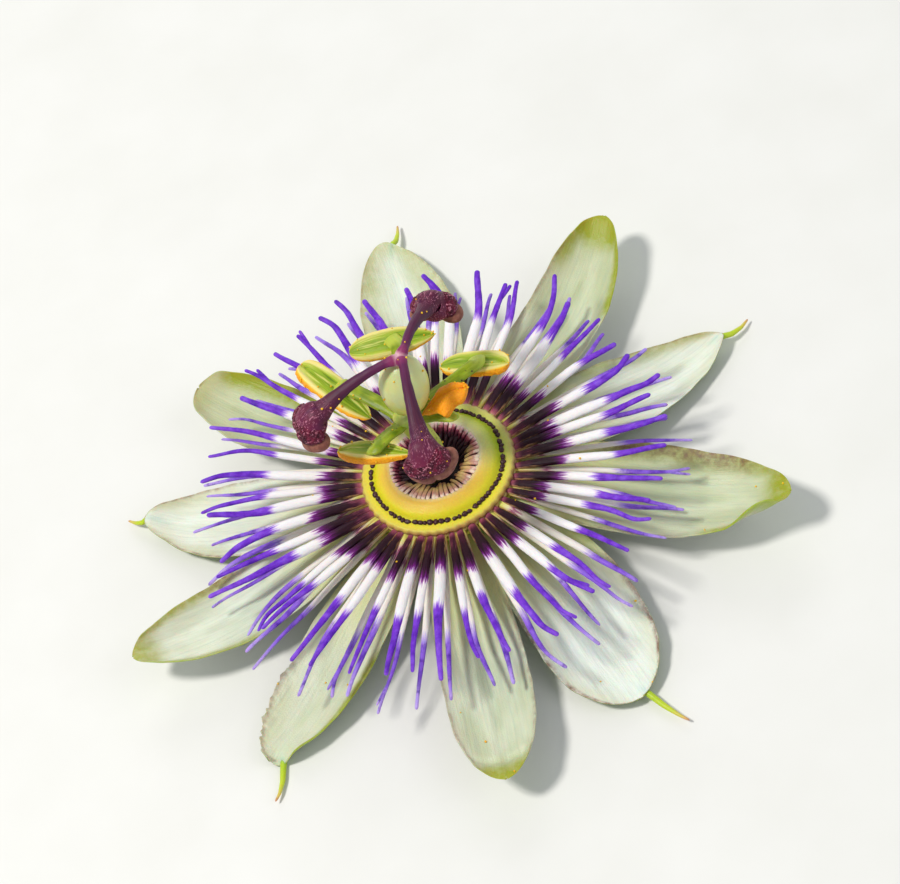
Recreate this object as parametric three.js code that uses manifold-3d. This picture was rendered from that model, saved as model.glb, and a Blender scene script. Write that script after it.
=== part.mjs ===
// A passion flower, picked just below its bracts and resting face up on its stalk's end and its sepals' horns.
// Units are millimetres and +Z is up. The model is built about the flower's own axis, and the whole group is
// then shifted so that the origin is the middle of its outline, on the surface that it rests on.
import * as THREE from "three";
import { mergeVertices } from "three/addons/utils/BufferGeometryUtils.js";
import Module from "manifold-3d";

const wasm = await Module();
wasm.setup();

// ---- driving dimensions ----
const GAP = 0.3; // air between neighbouring pieces

const STALK_R = 1.5;
const CUP = { footZ: 2.9, floorZ: 5.7, rimZ: 8.4, rimR: 9.5 };
const BRACT = { count: 3, firstDeg: 42, reach: 21, width: 15, baseZ: 1.1, tipZ: 1.6, camber: 0.5 };

// Each tepal, clockwise round the flower: the azimuths of its base and its tip, the radius of its tip, its
// greatest width and where along it that lies, how blunt its end is, and the height of its tip.
const TEPAL_THICKNESS = 0.6;
const SEPALS = [
  { baseDeg: 78.5, tipDeg: 82.9, reach: 48.6, width: 13.6, widest: 0.6, blunt: 2.0, tipZ: 2.6, awnDeg: 79 },
  { baseDeg: 6.5, tipDeg: 9.0, reach: 44.0, width: 12.8, widest: 0.5, blunt: 1.4, tipZ: 2.4, awnDeg: 10 },
  { baseDeg: 294.5, tipDeg: 283.2, reach: 41.5, width: 15.2, widest: 0.6, blunt: 2.7, tipZ: 1.9, awnDeg: 288.6 },
  { baseDeg: 215, tipDeg: 214.4, reach: 43.4, width: 11.4, widest: 0.6, blunt: 2.8, tipZ: 1.9, awnDeg: 219.2 },
  { baseDeg: 160, tipDeg: 152.6, reach: 44.6, width: 12.4, widest: 0.6, blunt: 1.8, tipZ: 2.4, awnDeg: 152.3 },
];
const PETALS = [
  { baseDeg: 34.5, tipDeg: 41.0, reach: 47.5, width: 11.9, widest: 0.5, blunt: 2.9, tipZ: 6.2 },
  { baseDeg: 330.5, tipDeg: 327.4, reach: 47.4, width: 14.4, widest: 0.5, blunt: 2.2, tipZ: 6.6 },
  { baseDeg: 258.5, tipDeg: 259.4, reach: 46.0, width: 11.6, widest: 0.6, blunt: 3.0, tipZ: 5.4 },
  { baseDeg: 186.5, tipDeg: 184.6, reach: 47.6, width: 11.6, widest: 0.6, blunt: 2.0, tipZ: 5.8 },
  { baseDeg: 126, tipDeg: 127, reach: 44.3, width: 11.2, widest: 0.6, blunt: 2.6, tipZ: 5.6 },
];
const SEPAL_FORM = { baseR: 9.8, baseZ: 6.5, lowZ: 0.95, lowAt: 0.84, camber: 1.0 };
const PETAL_FORM = { baseR: 9.8, baseZ: 8.0, lowZ: 3.7, lowAt: 0.66, camber: 1.2 };
const AWN = { start: 0.86, reach: 48.2, midZ: -0.25, endZ: 0.75, radius: 0.5 };

// The corona: two rows of long filaments, then a smooth disc with a row of tiny teeth in its groove, then the
// fringed operculum that closes round the column.
const CORONA = { innerR: 9.0, outerR: 10.5, thickness: 0.45, count: 48, longSideDeg: 215, longSide: 1.5 };
const UPPER_ROW = { ringZ: 10.2, reach: 31.4, midZ: 11.4, tipZ: 12.2, base: 0.55, middle: 0.66, tip: 0.34, seed: 1 };
const LOWER_ROW = { ringZ: 9.2, reach: 32.8, midZ: 8.8, tipZ: 6.9, base: 0.42, middle: 0.42, tip: 0.26, seed: 5 };
const DISC = { rimR: 10.3, rimZ: 10.8, grooveR: 8.9, grooveZ: 11.2, wallR: 8.2, wallZ: 11.9, crestR: 6.2, crestZ: 12.6 };
const INNER_ROW = { radius: 9.05, z: 11.75, teeth: 54, tooth: 0.35 };
const OPERCULUM = { topR: 5.3, topZ: 12.4, footR: 3.9, footZ: 9.9, teeth: 48, tooth: 0.5 };

const COLUMN = { foot: [1.2, 0.2, 6.1], bend: [0.8, 0.2, 14.5], top: [-1.1, 0.2, 24.3], footR: 1.9, topR: 1.6 };
const OVARY = { radius: 3.25, length: 9.8, middle: [0.6, -0.3, 29.9], leanDeg: 9 };

// Each stamen: where its filament ends, and how its anther lies there (yaw about Z, pitch and roll, in degrees).
const FILAMENT = { rootR: 0.75, tipR: 1.2, flatness: 0.5 };
const ANTHER = { width: 4.2, depth: 1.9, groove: 0.45 };
const STAMENS = [
  { end: [2.3, 11.7, 24.0], yaw: -16, pitch: 0, roll: 15, length: 11.8, hang: [-0.9, 1.6, -1.5] },
  { end: [11.0, 3.4, 23.4], yaw: -27, pitch: 0, roll: -8, length: 9.4, hang: [-0.8, 1.2, -1.7] },
  { end: [4.7, -3.4, 24.0], yaw: -12, pitch: 25, roll: 0, length: 8.0, hang: [0.3, 1.1, 2.6] },
  { end: [-6.4, -3.6, 24.6], yaw: -33, pitch: 0, roll: -10, length: 10.4, hang: [-0.1, 1.2, -1.8] },
  { end: [-7.1, 9.2, 24.2], yaw: 116, pitch: 12, roll: 10, length: 12.8, hang: [-0.9, 0.8, -1.8] },
];

// Each style: the azimuth it springs from, and where it meets its stigma.
const STYLE = { root: [1.6, -0.5, 35.65], rootR: 0.65, headR: 1.3 };
const STYLES = [
  { deg: 45, end: [7.7, 8.0, 32.0], arch: 0.5 },
  { deg: 180, end: [-11.0, -0.5, 32.2], arch: 0.3 },
  { deg: 268, end: [-0.6, -12.2, 32.0], arch: 1.0 },
];
const STIGMA = { width: 6.0, depth: 4.0, length: 4.5, notch: 0.25 };

// ---- small tools ----
const rad = THREE.MathUtils.degToRad;
const { lerp, smoothstep, clamp } = THREE.MathUtils;
const UP = new THREE.Vector3(0, 0, 1);
const vec = ([x, y, z]) => new THREE.Vector3(x, y, z);
const polar = (r, deg, z) => new THREE.Vector3(r * Math.cos(rad(deg)), r * Math.sin(rad(deg)), z);

// A repeatable number from -1 to 1 for item i.
function spread(i, seed) {
  const s = Math.sin(i * 12.9898 + seed * 78.233) * 43758.5453;
  return 2 * (s - Math.floor(s)) - 1;
}

// Moves every vertex of a three.js geometry through place(vertex), and welds the result.
function reshape(geometry, place) {
  const bare = new THREE.BufferGeometry();
  bare.setAttribute("position", geometry.getAttribute("position").clone());
  bare.setIndex(geometry.index);
  const position = bare.getAttribute("position");
  const vertex = new THREE.Vector3();
  for (let i = 0; i < position.count; i++) {
    vertex.fromBufferAttribute(position, i);
    const moved = place(vertex);
    position.setXYZ(i, moved.x, moved.y, moved.z);
  }
  return mergeVertices(bare, 1e-4);
}

// A tapering rod along a curve: radiusAt(t) is its half width, and flatness its thickness over its width.
function rod(curve, radiusAt, { sides = 6, steps = 6, flatness = 1 } = {}) {
  return reshape(new THREE.CylinderGeometry(1, 1, 1, sides, steps), (p) => {
    const t = clamp(p.y + 0.5, 0, 1);
    const along = curve.getTangentAt(t);
    const level = Math.abs(along.z) > 0.9 ? new THREE.Vector3(0, 1, 0) : UP;
    const across = new THREE.Vector3().crossVectors(level, along).normalize();
    const over = new THREE.Vector3().crossVectors(across, along);
    return curve
      .getPointAt(t)
      .addScaledVector(across, p.x * radiusAt(t))
      .addScaledVector(over, p.z * radiusAt(t) * flatness);
  });
}

const bow = (from, via, to) => new THREE.QuadraticBezierCurve3(from, via, to);

// A turned shape about Z. The profile runs from the lowest point outwards and up, as [radius, height] pairs.
function turned(profile, segments) {
  const lathe = new THREE.LatheGeometry(profile.map(([r, z]) => new THREE.Vector2(r, z)), segments);
  return reshape(lathe.rotateX(Math.PI / 2), (p) => p);
}

// A turned ring with a row of teeth: every other segment is moved by lift.
function toothed(profile, teeth, lift) {
  return reshape(turned(profile, 2 * teeth), (p) => {
    const step = Math.round((Math.atan2(p.y, p.x) * teeth) / Math.PI);
    return step % 2 === 0 ? lift(p.clone()) : p;
  });
}

function solid(geometry) {
  return new wasm.Manifold(
    new wasm.Mesh({
      numProp: 3,
      vertProperties: geometry.getAttribute("position").array,
      triVerts: new Uint32Array(geometry.index.array),
    }),
  );
}

function joined(geometries) {
  const made = geometries.map(solid).reduce((whole, next) => whole.add(next)).getMesh();
  const geometry = new THREE.BufferGeometry();
  geometry.setAttribute("position", new THREE.BufferAttribute(made.vertProperties, 3));
  geometry.setIndex(new THREE.BufferAttribute(made.triVerts, 1));
  return geometry;
}

// ---- materials ----
const matte = (color, roughness = 0.6) => new THREE.MeshStandardMaterial({ color, roughness, metalness: 0 });
const MATERIALS = {
  sepal: matte(0xcdd6b4, 0.45),
  petal: matte(0xe0e6d2, 0.45),
  green: matte(0x7f9e3a),
  cup: matte(0xa9b86a),
  disc: matte(0xc9c93c, 0.5),
  filament: matte(0x6a3fb0),
  dark: matte(0x2c141d),
  stamen: matte(0x9bb52e),
  anther: matte(0xd9c04a),
  ovary: matte(0xc3cc95, 0.5),
  style: matte(0x4a2440),
  stigma: matte(0x6b2f4e),
};

const flower = new THREE.Group();
function add(name, geometry, material) {
  const mesh = new THREE.Mesh(geometry, material);
  mesh.name = name;
  flower.add(mesh);
}

// ---- tepals ----
// Half the width at u, as a share of the greatest: a broad waist, then a rounded end.
function tepalWidth(tepal, u) {
  if (u < tepal.widest) return lerp(0.62, 1, Math.sin((u / tepal.widest) * (Math.PI / 2)));
  const s = (u - tepal.widest) / (1 - tepal.widest);
  return Math.max(0.05, Math.pow(1 - Math.pow(s, tepal.blunt), 0.62));
}

// The middle of the blade at u: it leaves the cup at its own azimuth, sags, and lifts at its tip.
function tepalMiddle(tepal, form, u) {
  const turn = tepal.tipDeg - tepal.baseDeg;
  const fall = smoothstep(u, 0, form.lowAt);
  const lift = smoothstep(u, form.lowAt, 1.12);
  const z = lerp(form.baseZ, form.lowZ, fall) + (tepal.tipZ - form.lowZ) * lift * 1.15;
  return polar(lerp(form.baseR, tepal.reach, u), tepal.baseDeg + turn * Math.pow(u, 1.3), z);
}

function blade(tepal, form) {
  return reshape(new THREE.BoxGeometry(1, 1, 1, 11, 6, 1), (p) => {
    const u = 1 - Math.pow(0.5 - p.x, 1.25);
    const v = 2 * p.y;
    const middle = tepalMiddle(tepal, form, u);
    const ahead = tepalMiddle(tepal, form, u + 0.01).sub(middle).setZ(0).normalize();
    const share = tepalWidth(tepal, u);
    const cup = form.camber * v * v * smoothstep(u, 0.1, 0.5) * share;
    const thickness = TEPAL_THICKNESS * (1 - 0.35 * v * v);
    return middle
      .addScaledVector(new THREE.Vector3(-ahead.y, ahead.x, 0), (tepal.width / 2) * share * v)
      .addScaledVector(UP, cup + p.z * thickness);
  });
}

// The soft green horn that a sepal carries on its back, just short of its tip.
function awn(sepal) {
  const root = tepalMiddle(sepal, SEPAL_FORM, AWN.start);
  const end = polar(AWN.reach, sepal.awnDeg, AWN.endZ);
  const curve = bow(root, root.clone().lerp(end, 0.55).setZ(AWN.midZ), end);
  return rod(curve, (t) => lerp(AWN.radius, 0.2, t), { sides: 5, steps: 4, flatness: 0.8 });
}

SEPALS.forEach((sepal, i) => {
  add(`sepal_${i + 1}`, joined([blade(sepal, SEPAL_FORM), awn(sepal)]), MATERIALS.sepal);
});
PETALS.forEach((petal, i) => {
  add(`petal_${i + 1}`, blade(petal, PETAL_FORM), MATERIALS.petal);
});

// ---- stalk, bracts and cup ----
const stalkTopZ = CUP.footZ - GAP;
const stalkProfile = [
  [0, 0],
  [STALK_R, 0],
  [STALK_R, stalkTopZ - 0.6],
  [STALK_R + 0.5, stalkTopZ],
  [0, stalkTopZ],
];
add("stalk", turned(stalkProfile, 16), MATERIALS.green);

for (let i = 0; i < BRACT.count; i++) {
  const azimuth = BRACT.firstDeg + (i * 360) / BRACT.count;
  const plate = reshape(new THREE.BoxGeometry(1, 1, 1, 8, 4, 1), (p) => {
    const u = p.x + 0.5;
    const v = 2 * p.y;
    const share = Math.max(0.1, Math.pow(Math.sin(Math.PI * Math.pow(lerp(0.02, 1, u), 0.8)), 0.7));
    const z = lerp(BRACT.baseZ, BRACT.tipZ, u) + BRACT.camber * v * v * u + p.z * 0.4;
    const middle = polar(lerp(STALK_R + GAP, BRACT.reach, u), azimuth, z);
    return middle.addScaledVector(polar(1, azimuth + 90, 0), (BRACT.width / 2) * share * v);
  });
  add(`bract_${i + 1}`, plate, MATERIALS.green);
}

const cupProfile = [
  [0, CUP.footZ],
  [2.2, CUP.footZ],
  [6.2, 3.6],
  [8.8, 5.2],
  [CUP.rimR - 0.15, 6.6],
  [CUP.rimR, CUP.rimZ],
  [CUP.rimR - 1.2, CUP.rimZ],
  [7.9, 6.7],
  [7.0, CUP.floorZ],
  [0, CUP.floorZ],
];
add("floral_cup", turned(cupProfile, 30), MATERIALS.cup);

// ---- corona ----
// One row: a thin ring with its filaments standing out all round it, a little longer on one side.
function coronaRow(row) {
  const footZ = row.ringZ - CORONA.thickness;
  const rim = [
    [CORONA.innerR, footZ],
    [CORONA.outerR, footZ],
    [CORONA.outerR, row.ringZ],
    [CORONA.innerR, row.ringZ],
    [CORONA.innerR, footZ],
  ];
  const filaments = Array.from({ length: CORONA.count }, (_, i) => {
    const azimuth = ((i + 0.5 + 0.22 * spread(i, row.seed)) * 360) / CORONA.count;
    const longer = CORONA.longSide * Math.cos(rad(azimuth - CORONA.longSideDeg));
    const reach = row.reach + longer + 1.2 * spread(i, row.seed + 1);
    const root = polar(CORONA.outerR - 0.5, azimuth, footZ + CORONA.thickness / 2);
    const tip = polar(reach, azimuth + 2.2 * spread(i, row.seed + 2), row.tipZ);
    const via = polar((CORONA.outerR + reach) / 2, azimuth, 2 * row.midZ - (root.z + tip.z) / 2);
    const radiusAt = (t) => (t < 0.5 ? lerp(row.base, row.middle, 2 * t) : lerp(row.middle, row.tip, 2 * t - 1));
    return rod(bow(root, via, tip), radiusAt, { sides: 4, steps: 4, flatness: 0.8 });
  });
  return joined([turned(rim, CORONA.count), ...filaments]);
}
add("corona_upper_row", coronaRow(UPPER_ROW), MATERIALS.filament);
add("corona_lower_row", coronaRow(LOWER_ROW), MATERIALS.filament);

const discProfile = [
  [5.7, DISC.crestZ - 0.9],
  [7.4, DISC.crestZ - 1.3],
  [CORONA.innerR - 0.1, DISC.rimZ - 0.2],
  [CORONA.innerR - 0.1, DISC.rimZ],
  [DISC.rimR, DISC.rimZ],
  [DISC.rimR, DISC.grooveZ],
  [DISC.grooveR, DISC.grooveZ],
  [DISC.wallR, DISC.wallZ],
  [DISC.crestR + 0.9, DISC.crestZ - 0.1],
  [DISC.crestR, DISC.crestZ],
  [5.7, DISC.crestZ - 0.3],
  [5.7, DISC.crestZ - 0.9],
];
add("corona_disc", turned(discProfile, 36), MATERIALS.disc);

const innerRowProfile = [
  [INNER_ROW.radius - 0.35, INNER_ROW.z + 0.1],
  [INNER_ROW.radius + 0.35, INNER_ROW.z - 0.1],
  [INNER_ROW.radius, INNER_ROW.z + 0.35],
  [INNER_ROW.radius - 0.35, INNER_ROW.z + 0.1],
];
const innerRow = toothed(innerRowProfile, INNER_ROW.teeth, (p) => (
  p.z > INNER_ROW.z + 0.2 ? p.setZ(p.z + INNER_ROW.tooth) : p
));
add("corona_inner_row", innerRow, MATERIALS.dark);

const operculumProfile = [
  [OPERCULUM.footR + 0.2, OPERCULUM.footZ - 0.4],
  [OPERCULUM.topR, OPERCULUM.topZ - 0.5],
  [OPERCULUM.topR, OPERCULUM.topZ],
  [OPERCULUM.footR, OPERCULUM.footZ],
  [OPERCULUM.footR + 0.2, OPERCULUM.footZ - 0.4],
];
const operculum = toothed(operculumProfile, OPERCULUM.teeth, (p) => (
  p.z > OPERCULUM.topZ - 0.2 ? p.setZ(p.z + OPERCULUM.tooth) : p
));
add("operculum", operculum, MATERIALS.dark);

// ---- column, stamens and ovary ----
const columnCurve = bow(vec(COLUMN.foot), vec(COLUMN.bend), vec(COLUMN.top));
const columnRadius = (t) => lerp(COLUMN.footR, COLUMN.topR, Math.min(1, 1.4 * t));
add("column", rod(columnCurve, columnRadius, { sides: 16, steps: 5 }), MATERIALS.ovary);

STAMENS.forEach((stamen, i) => {
  const end = vec(stamen.end);
  const collar = columnCurve.getPointAt(0.94);
  const outward = end.clone().sub(collar).setZ(0).normalize();
  const root = collar.clone().addScaledVector(outward, COLUMN.topR + GAP + 0.25);
  const curve = bow(root, root.clone().lerp(end, 0.5).setZ(end.z + 0.2), end);
  const radiusAt = (t) => lerp(FILAMENT.rootR, FILAMENT.tipR, t);
  const strap = rod(curve, radiusAt, { sides: 6, steps: 5, flatness: FILAMENT.flatness });
  add(`stamen_filament_${i + 1}`, strap, MATERIALS.stamen);

  const lie = new THREE.Euler(rad(stamen.roll), rad(-stamen.pitch), rad(stamen.yaw), "ZYX");
  const anther = reshape(new THREE.SphereGeometry(1, 12, 8).rotateX(Math.PI / 2), (p) => {
    const groove = ANTHER.groove * Math.max(0, 1 - Math.abs(p.y) * 2.4) * Math.sign(p.z);
    const across = (p.y * ANTHER.width) / 2;
    return new THREE.Vector3((p.x * stamen.length) / 2, across, ((p.z - groove) * ANTHER.depth) / 2)
      .applyEuler(lie)
      .add(end)
      .add(vec(stamen.hang));
  });
  add(`anther_${i + 1}`, anther, MATERIALS.anther);
});

const ovaryLean = new THREE.Euler(0, rad(OVARY.leanDeg), 0);
const ovary = reshape(new THREE.SphereGeometry(1, 16, 12).rotateX(Math.PI / 2), (p) => (
  new THREE.Vector3(p.x * OVARY.radius, p.y * OVARY.radius, (p.z * OVARY.length) / 2)
    .applyEuler(ovaryLean)
    .add(vec(OVARY.middle))
));
add("ovary", ovary, MATERIALS.ovary);

// ---- styles and stigmas ----
STYLES.forEach((style, i) => {
  const root = vec(STYLE.root).add(polar(1.1, style.deg, 0));
  const end = vec(style.end);
  const curve = bow(root, root.clone().lerp(end, 0.5).setZ(STYLE.root[2] + style.arch), end);
  const radiusAt = (t) => lerp(STYLE.rootR, STYLE.headR, t * t);
  add(`style_${i + 1}`, rod(curve, radiusAt, { sides: 8, steps: 9 }), MATERIALS.style);

  const away = curve.getTangentAt(1);
  const across = new THREE.Vector3().crossVectors(UP, away).normalize();
  const over = new THREE.Vector3().crossVectors(away, across);
  const middle = end.clone().addScaledVector(away, GAP + STIGMA.length / 2);
  const knob = reshape(new THREE.SphereGeometry(1, 12, 9), (p) => {
    const cleft = 1 - STIGMA.notch * Math.max(0, 1 - Math.abs(p.x) * 2.5) * Math.max(0, p.z);
    return middle
      .clone()
      .addScaledVector(across, (p.x * STIGMA.width) / 2)
      .addScaledVector(over, (p.y * STIGMA.depth) / 2)
      .addScaledVector(away, (p.z * cleft * STIGMA.length) / 2);
  });
  add(`stigma_${i + 1}`, knob, MATERIALS.stigma);
});

// ---- origin: the middle of the outline, on the surface that the flower rests on ----
const outline = new THREE.Box3().setFromObject(flower);
const middle = outline.getCenter(new THREE.Vector3());
flower.position.set(-middle.x, -middle.y, -outline.min.z);

export default flower;
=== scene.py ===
"""The passion flower's looks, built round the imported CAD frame.

Shapes are worked out in millimetres about the flower's own axis, and Shape.piece turns them into Blender
meshes in metres. Materials are node trees. The floor, the lamps and the camera come last."""

import math
import random

import bmesh
import bpy
import numpy as np
from mathutils import Matrix, Vector, noise
from mathutils.bvhtree import BVHTree


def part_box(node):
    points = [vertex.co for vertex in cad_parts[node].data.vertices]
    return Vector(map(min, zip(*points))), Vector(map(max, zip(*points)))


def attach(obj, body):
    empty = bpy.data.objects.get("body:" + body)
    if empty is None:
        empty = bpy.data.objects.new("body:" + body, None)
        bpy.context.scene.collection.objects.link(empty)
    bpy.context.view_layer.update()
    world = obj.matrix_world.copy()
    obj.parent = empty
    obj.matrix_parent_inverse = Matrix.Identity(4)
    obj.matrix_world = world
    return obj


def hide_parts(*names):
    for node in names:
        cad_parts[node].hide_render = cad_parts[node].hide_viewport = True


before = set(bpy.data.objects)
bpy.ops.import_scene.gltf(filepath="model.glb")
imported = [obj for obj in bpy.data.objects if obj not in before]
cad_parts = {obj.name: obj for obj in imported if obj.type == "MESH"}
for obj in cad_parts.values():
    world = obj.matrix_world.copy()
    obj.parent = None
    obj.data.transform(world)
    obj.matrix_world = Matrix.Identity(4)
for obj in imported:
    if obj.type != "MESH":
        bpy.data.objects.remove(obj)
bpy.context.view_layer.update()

MM = 0.001
BODY = "root"
disc_low, disc_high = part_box("corona_disc")
AXIS = np.array([(disc_low.x + disc_high.x) / 2, (disc_low.y + disc_high.y) / 2, 0]) / MM
UP = np.array([0.0, 0.0, 1.0])
LEVEL = np.array([1, 1, 0])  # a direction times this has lost its height
FULL_TURN = 2 * math.pi


# ---- small tools ----
def unit(a):
    a = np.asarray(a, float)
    return a / np.linalg.norm(a, axis=-1, keepdims=True)


def ease(x, start, stop):
    """A smooth step from 0 at start to 1 at stop, either way round."""
    t = np.clip((np.asarray(x, float) - start) / (stop - start), 0, 1)
    return t * t * (3 - 2 * t)


def bump_at(x, middle, width):
    return np.exp(-(((np.asarray(x, float) - middle) / width) ** 2))


def relax(values, times=2):
    """Values along a line, smoothed, with both ends kept."""
    for _ in range(times):
        inner = (values[:-2] + 2 * values[1:-1] + values[2:]) / 4
        values = np.concatenate([values[:1], inner, values[-1:]])
    return values


def wander(points, scale, seed=0.0):
    """Smooth noise from -1 to 1 at each point, whose lumps are about scale across."""
    shift = Vector((seed * 7.31, seed * 3.17, seed * 5.71))
    flat = np.asarray(points, float).reshape(-1, 3) / scale
    made = np.array([noise.noise(Vector(p) + shift) for p in flat.tolist()])
    return made.reshape(np.asarray(points).shape[:-1])


def wave(x, y, seed):
    """Smooth noise over two values."""
    return wander(np.stack(np.broadcast_arrays(x, y, 0.0), -1), 1.0, seed)


def heading(angle):
    """The directions out from the flower's axis and anticlockwise round it."""
    out = np.array([math.cos(angle), math.sin(angle), 0])
    return out, np.cross(UP, out)


def polar(points):
    """Distances from the flower's axis, and angles round it."""
    return np.hypot(points[..., 0], points[..., 1]), np.arctan2(points[..., 1], points[..., 0])


def spaced(points, count):
    """Points evenly spaced along a line through the given ones."""
    steps = np.concatenate([[0], np.cumsum(np.linalg.norm(np.diff(points, axis=0), axis=1))])
    at = np.linspace(0, 1, count) * steps[-1]
    return np.stack([np.interp(at, steps, column) for column in points.T], -1)


def resample(path, count, power=1.0):
    """A smoothed path's points, closer at its end where power is over 1, and their shares of its length."""
    share = 1 - (1 - np.linspace(0, 1, count)) ** power
    fine = relax(spaced(path, 400), 160)
    places = np.linspace(0, 1, len(fine))
    return np.stack([np.interp(share, places, column) for column in fine.T], -1), share


class Solid:
    """A CAD node's triangles about the flower's axis, in millimetres."""

    def __init__(self, node):
        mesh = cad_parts[node].data
        mesh.calc_loop_triangles()
        self.points = np.array([v.co for v in mesh.vertices], float) / MM - AXIS
        self.faces = np.array([t.vertices for t in mesh.loop_triangles])
        self.tree = BVHTree.FromPolygons(self.points.tolist(), self.faces.tolist())
        self.low, self.high = self.points.min(0), self.points.max(0)
        self.middle = (self.low + self.high) / 2

    def section(self, origin, normal):
        """Points where the surface's edges cross a plane."""
        depth = (self.points - origin) @ normal
        found = []
        for a, b in ((0, 1), (1, 2), (2, 0)):
            i, j = self.faces[:, a], self.faces[:, b]
            cut = depth[i] * depth[j] < 0
            i, j = i[cut], j[cut]
            t = depth[i] / (depth[i] - depth[j])
            found.append(self.points[i] + t[:, None] * (self.points[j] - self.points[i]))
        return np.concatenate(found)

    def hit(self, origin, direction):
        place = self.tree.ray_cast(Vector(origin), Vector(direction))[0]
        return None if place is None else np.array(place)

    def top(self, x, y):
        place = self.hit((x, y, 99.0), (0, 0, -1))
        return None if place is None else place[2]

    def ends(self, near):
        """The middles of a long piece's two ends, first the one nearer to a point."""
        middle = self.points.mean(0)
        along = np.linalg.svd(self.points - middle, full_matrices=False)[2][0]
        place = (self.points - middle) @ along
        edge = 0.04 * np.ptp(place)
        found = [self.points[end].mean(0) for end in (place < place.min() + edge, place > place.max() - edge)]
        return sorted(found, key=lambda p: np.linalg.norm(p - near))

    def spine(self, near, count=12):
        """A rod's centre line from the end nearer to a point, and its half width there."""
        start, stop = self.ends(near)
        chord = unit(stop - start)
        across = unit(np.cross(UP, chord)) if abs(chord[2]) < 0.9 else np.array([1.0, 0, 0])
        over = np.cross(chord, across)
        middles, wide = [], []
        for share in np.linspace(0.06, 0.94, count):
            origin = start + share * (stop - start)
            cut = self.section(origin, chord) - origin
            a, b = cut @ across, cut @ over
            middles.append(origin + across * (a.min() + a.max()) / 2 + over * (b.min() + b.max()) / 2)
            wide.append(np.ptp(a) / 2)
        return np.array([start, *relax(np.array(middles)), stop]), np.array([wide[0], *wide, wide[-1]])

    def axes(self):
        """A blob's directions and half sizes, longest first; the third direction points up."""
        turned_to = np.linalg.svd(self.points - self.points.mean(0), full_matrices=False)[2]
        if turned_to[2][2] < 0:
            turned_to[2] = -turned_to[2]
        turned_to[1] = np.cross(turned_to[2], turned_to[0])
        return turned_to, np.ptp((self.points - self.middle) @ turned_to.T, axis=0) / 2


# ---- shapes ----
def walls(n, m, bands):
    """Faces of the bands between n rings of m points. After the last ring comes the first again."""
    return [(i * m + j, i * m + (j + 1) % m, (i + 1) % n * m + (j + 1) % m, (i + 1) % n * m + j)
            for i in range(bands) for j in range(m)]


class Shape:
    """Points in millimetres, faces, and named values at the points, gathered into one piece."""

    def __init__(self):
        self.points, self.faces, self.values, self.count = [], [], {}, 0

    def add(self, points, faces, **values):
        self.faces += [tuple(i + self.count for i in face) for face in faces]
        self.points.append(points)
        self.count += len(points)
        for name, value in values.items():
            self.values.setdefault(name, []).append(value)

    def band(self, rings, closed=True, **values):
        """A surface through rings of points. A value is a number, or broadcasts to (ring, point)."""
        n, m = rings.shape[:2]
        spread = {name: np.broadcast_to(value, (n, m)).ravel() for name, value in values.items()}
        self.add(rings.reshape(-1, 3), walls(n, m, n if closed else n - 1), **spread)

    def loft(self, rings, **values):
        """A tube through rings of points, each end closed on its middle. Values are as in band."""
        n, m = rings.shape[:2]
        after = [(j + 1) % m for j in range(m)]
        faces = walls(n, m, n - 1) + [(n * m, after[j], j) for j in range(m)]
        faces += [(n * m + 1, (n - 1) * m + j, (n - 1) * m + after[j]) for j in range(m)]
        spread = {}
        for name, value in values.items():
            value = np.broadcast_to(value, (n, m))
            spread[name] = np.concatenate([value.ravel(), [value[0].mean(), value[-1].mean()]])
        middles = [rings[0].mean(0), rings[-1].mean(0)]
        self.add(np.concatenate([rings.reshape(-1, 3), middles]), faces, **spread)

    def rod(self, path, wide, thick, sides, **values):
        """An oval rod along a path, with the value around from 1 on its one side to -1 on the other."""
        rings, turn = tube(path, wide, thick, sides)
        self.loft(rings, around=np.cos(turn), **values)

    def piece(self, name, material, slot, *nodes):
        mesh = bpy.data.meshes.new(name)
        mesh.from_pydata(((np.concatenate(self.points) + AXIS) * MM).tolist(), [], self.faces)
        for key, parts in self.values.items():
            layer = mesh.attributes.new(key, "FLOAT", "POINT")
            layer.data.foreach_set("value", np.concatenate(parts).astype(np.float32))
        work = bmesh.new()
        work.from_mesh(mesh)
        bmesh.ops.recalc_face_normals(work, faces=work.faces)
        work.to_mesh(mesh)
        work.free()
        mesh.shade_smooth()
        mesh.materials.append(material)
        made = bpy.data.objects.new(name, mesh)
        bpy.context.scene.collection.objects.link(made)
        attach(made, BODY)
        if nodes:
            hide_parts(*nodes)


def tube(path, wide, thick, sides, level=UP):
    """Rings of an oval tube along a path, from its half sizes, and the turn of each point round it."""
    along = unit(np.gradient(path, axis=0))
    across = unit(np.cross(level, along))
    over = np.cross(along, across)
    turn = np.linspace(0, FULL_TURN, sides, endpoint=False)
    side = np.cos(turn)[None, :, None] * wide[:, None, None] * across[:, None]
    rise = np.sin(turn)[None, :, None] * thick[:, None, None] * over[:, None]
    return path[:, None] + side + rise, turn


def rounded(share, length, radius, both=True):
    """How a rod's sizes shrink towards its end, or towards both, so that they're round."""
    made = 1.0
    for away in (1 - share, share)[: 1 + both]:
        left = np.clip(away * length / radius, 0, 1)
        made = made * np.sqrt(np.clip(1 - (1 - left) ** 2, 0.0015, 1))
    return made


def carved(rings, path, share, depth, lump, seed):
    """A tube's rings, scaled about their path by a share and then roughened."""
    centre = path[:, None]
    rings = centre + (rings - centre) * np.broadcast_to(share, rings.shape[:2])[..., None]
    return rings + depth * wander(rings, lump, seed)[..., None] * unit(rings - centre)


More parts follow.
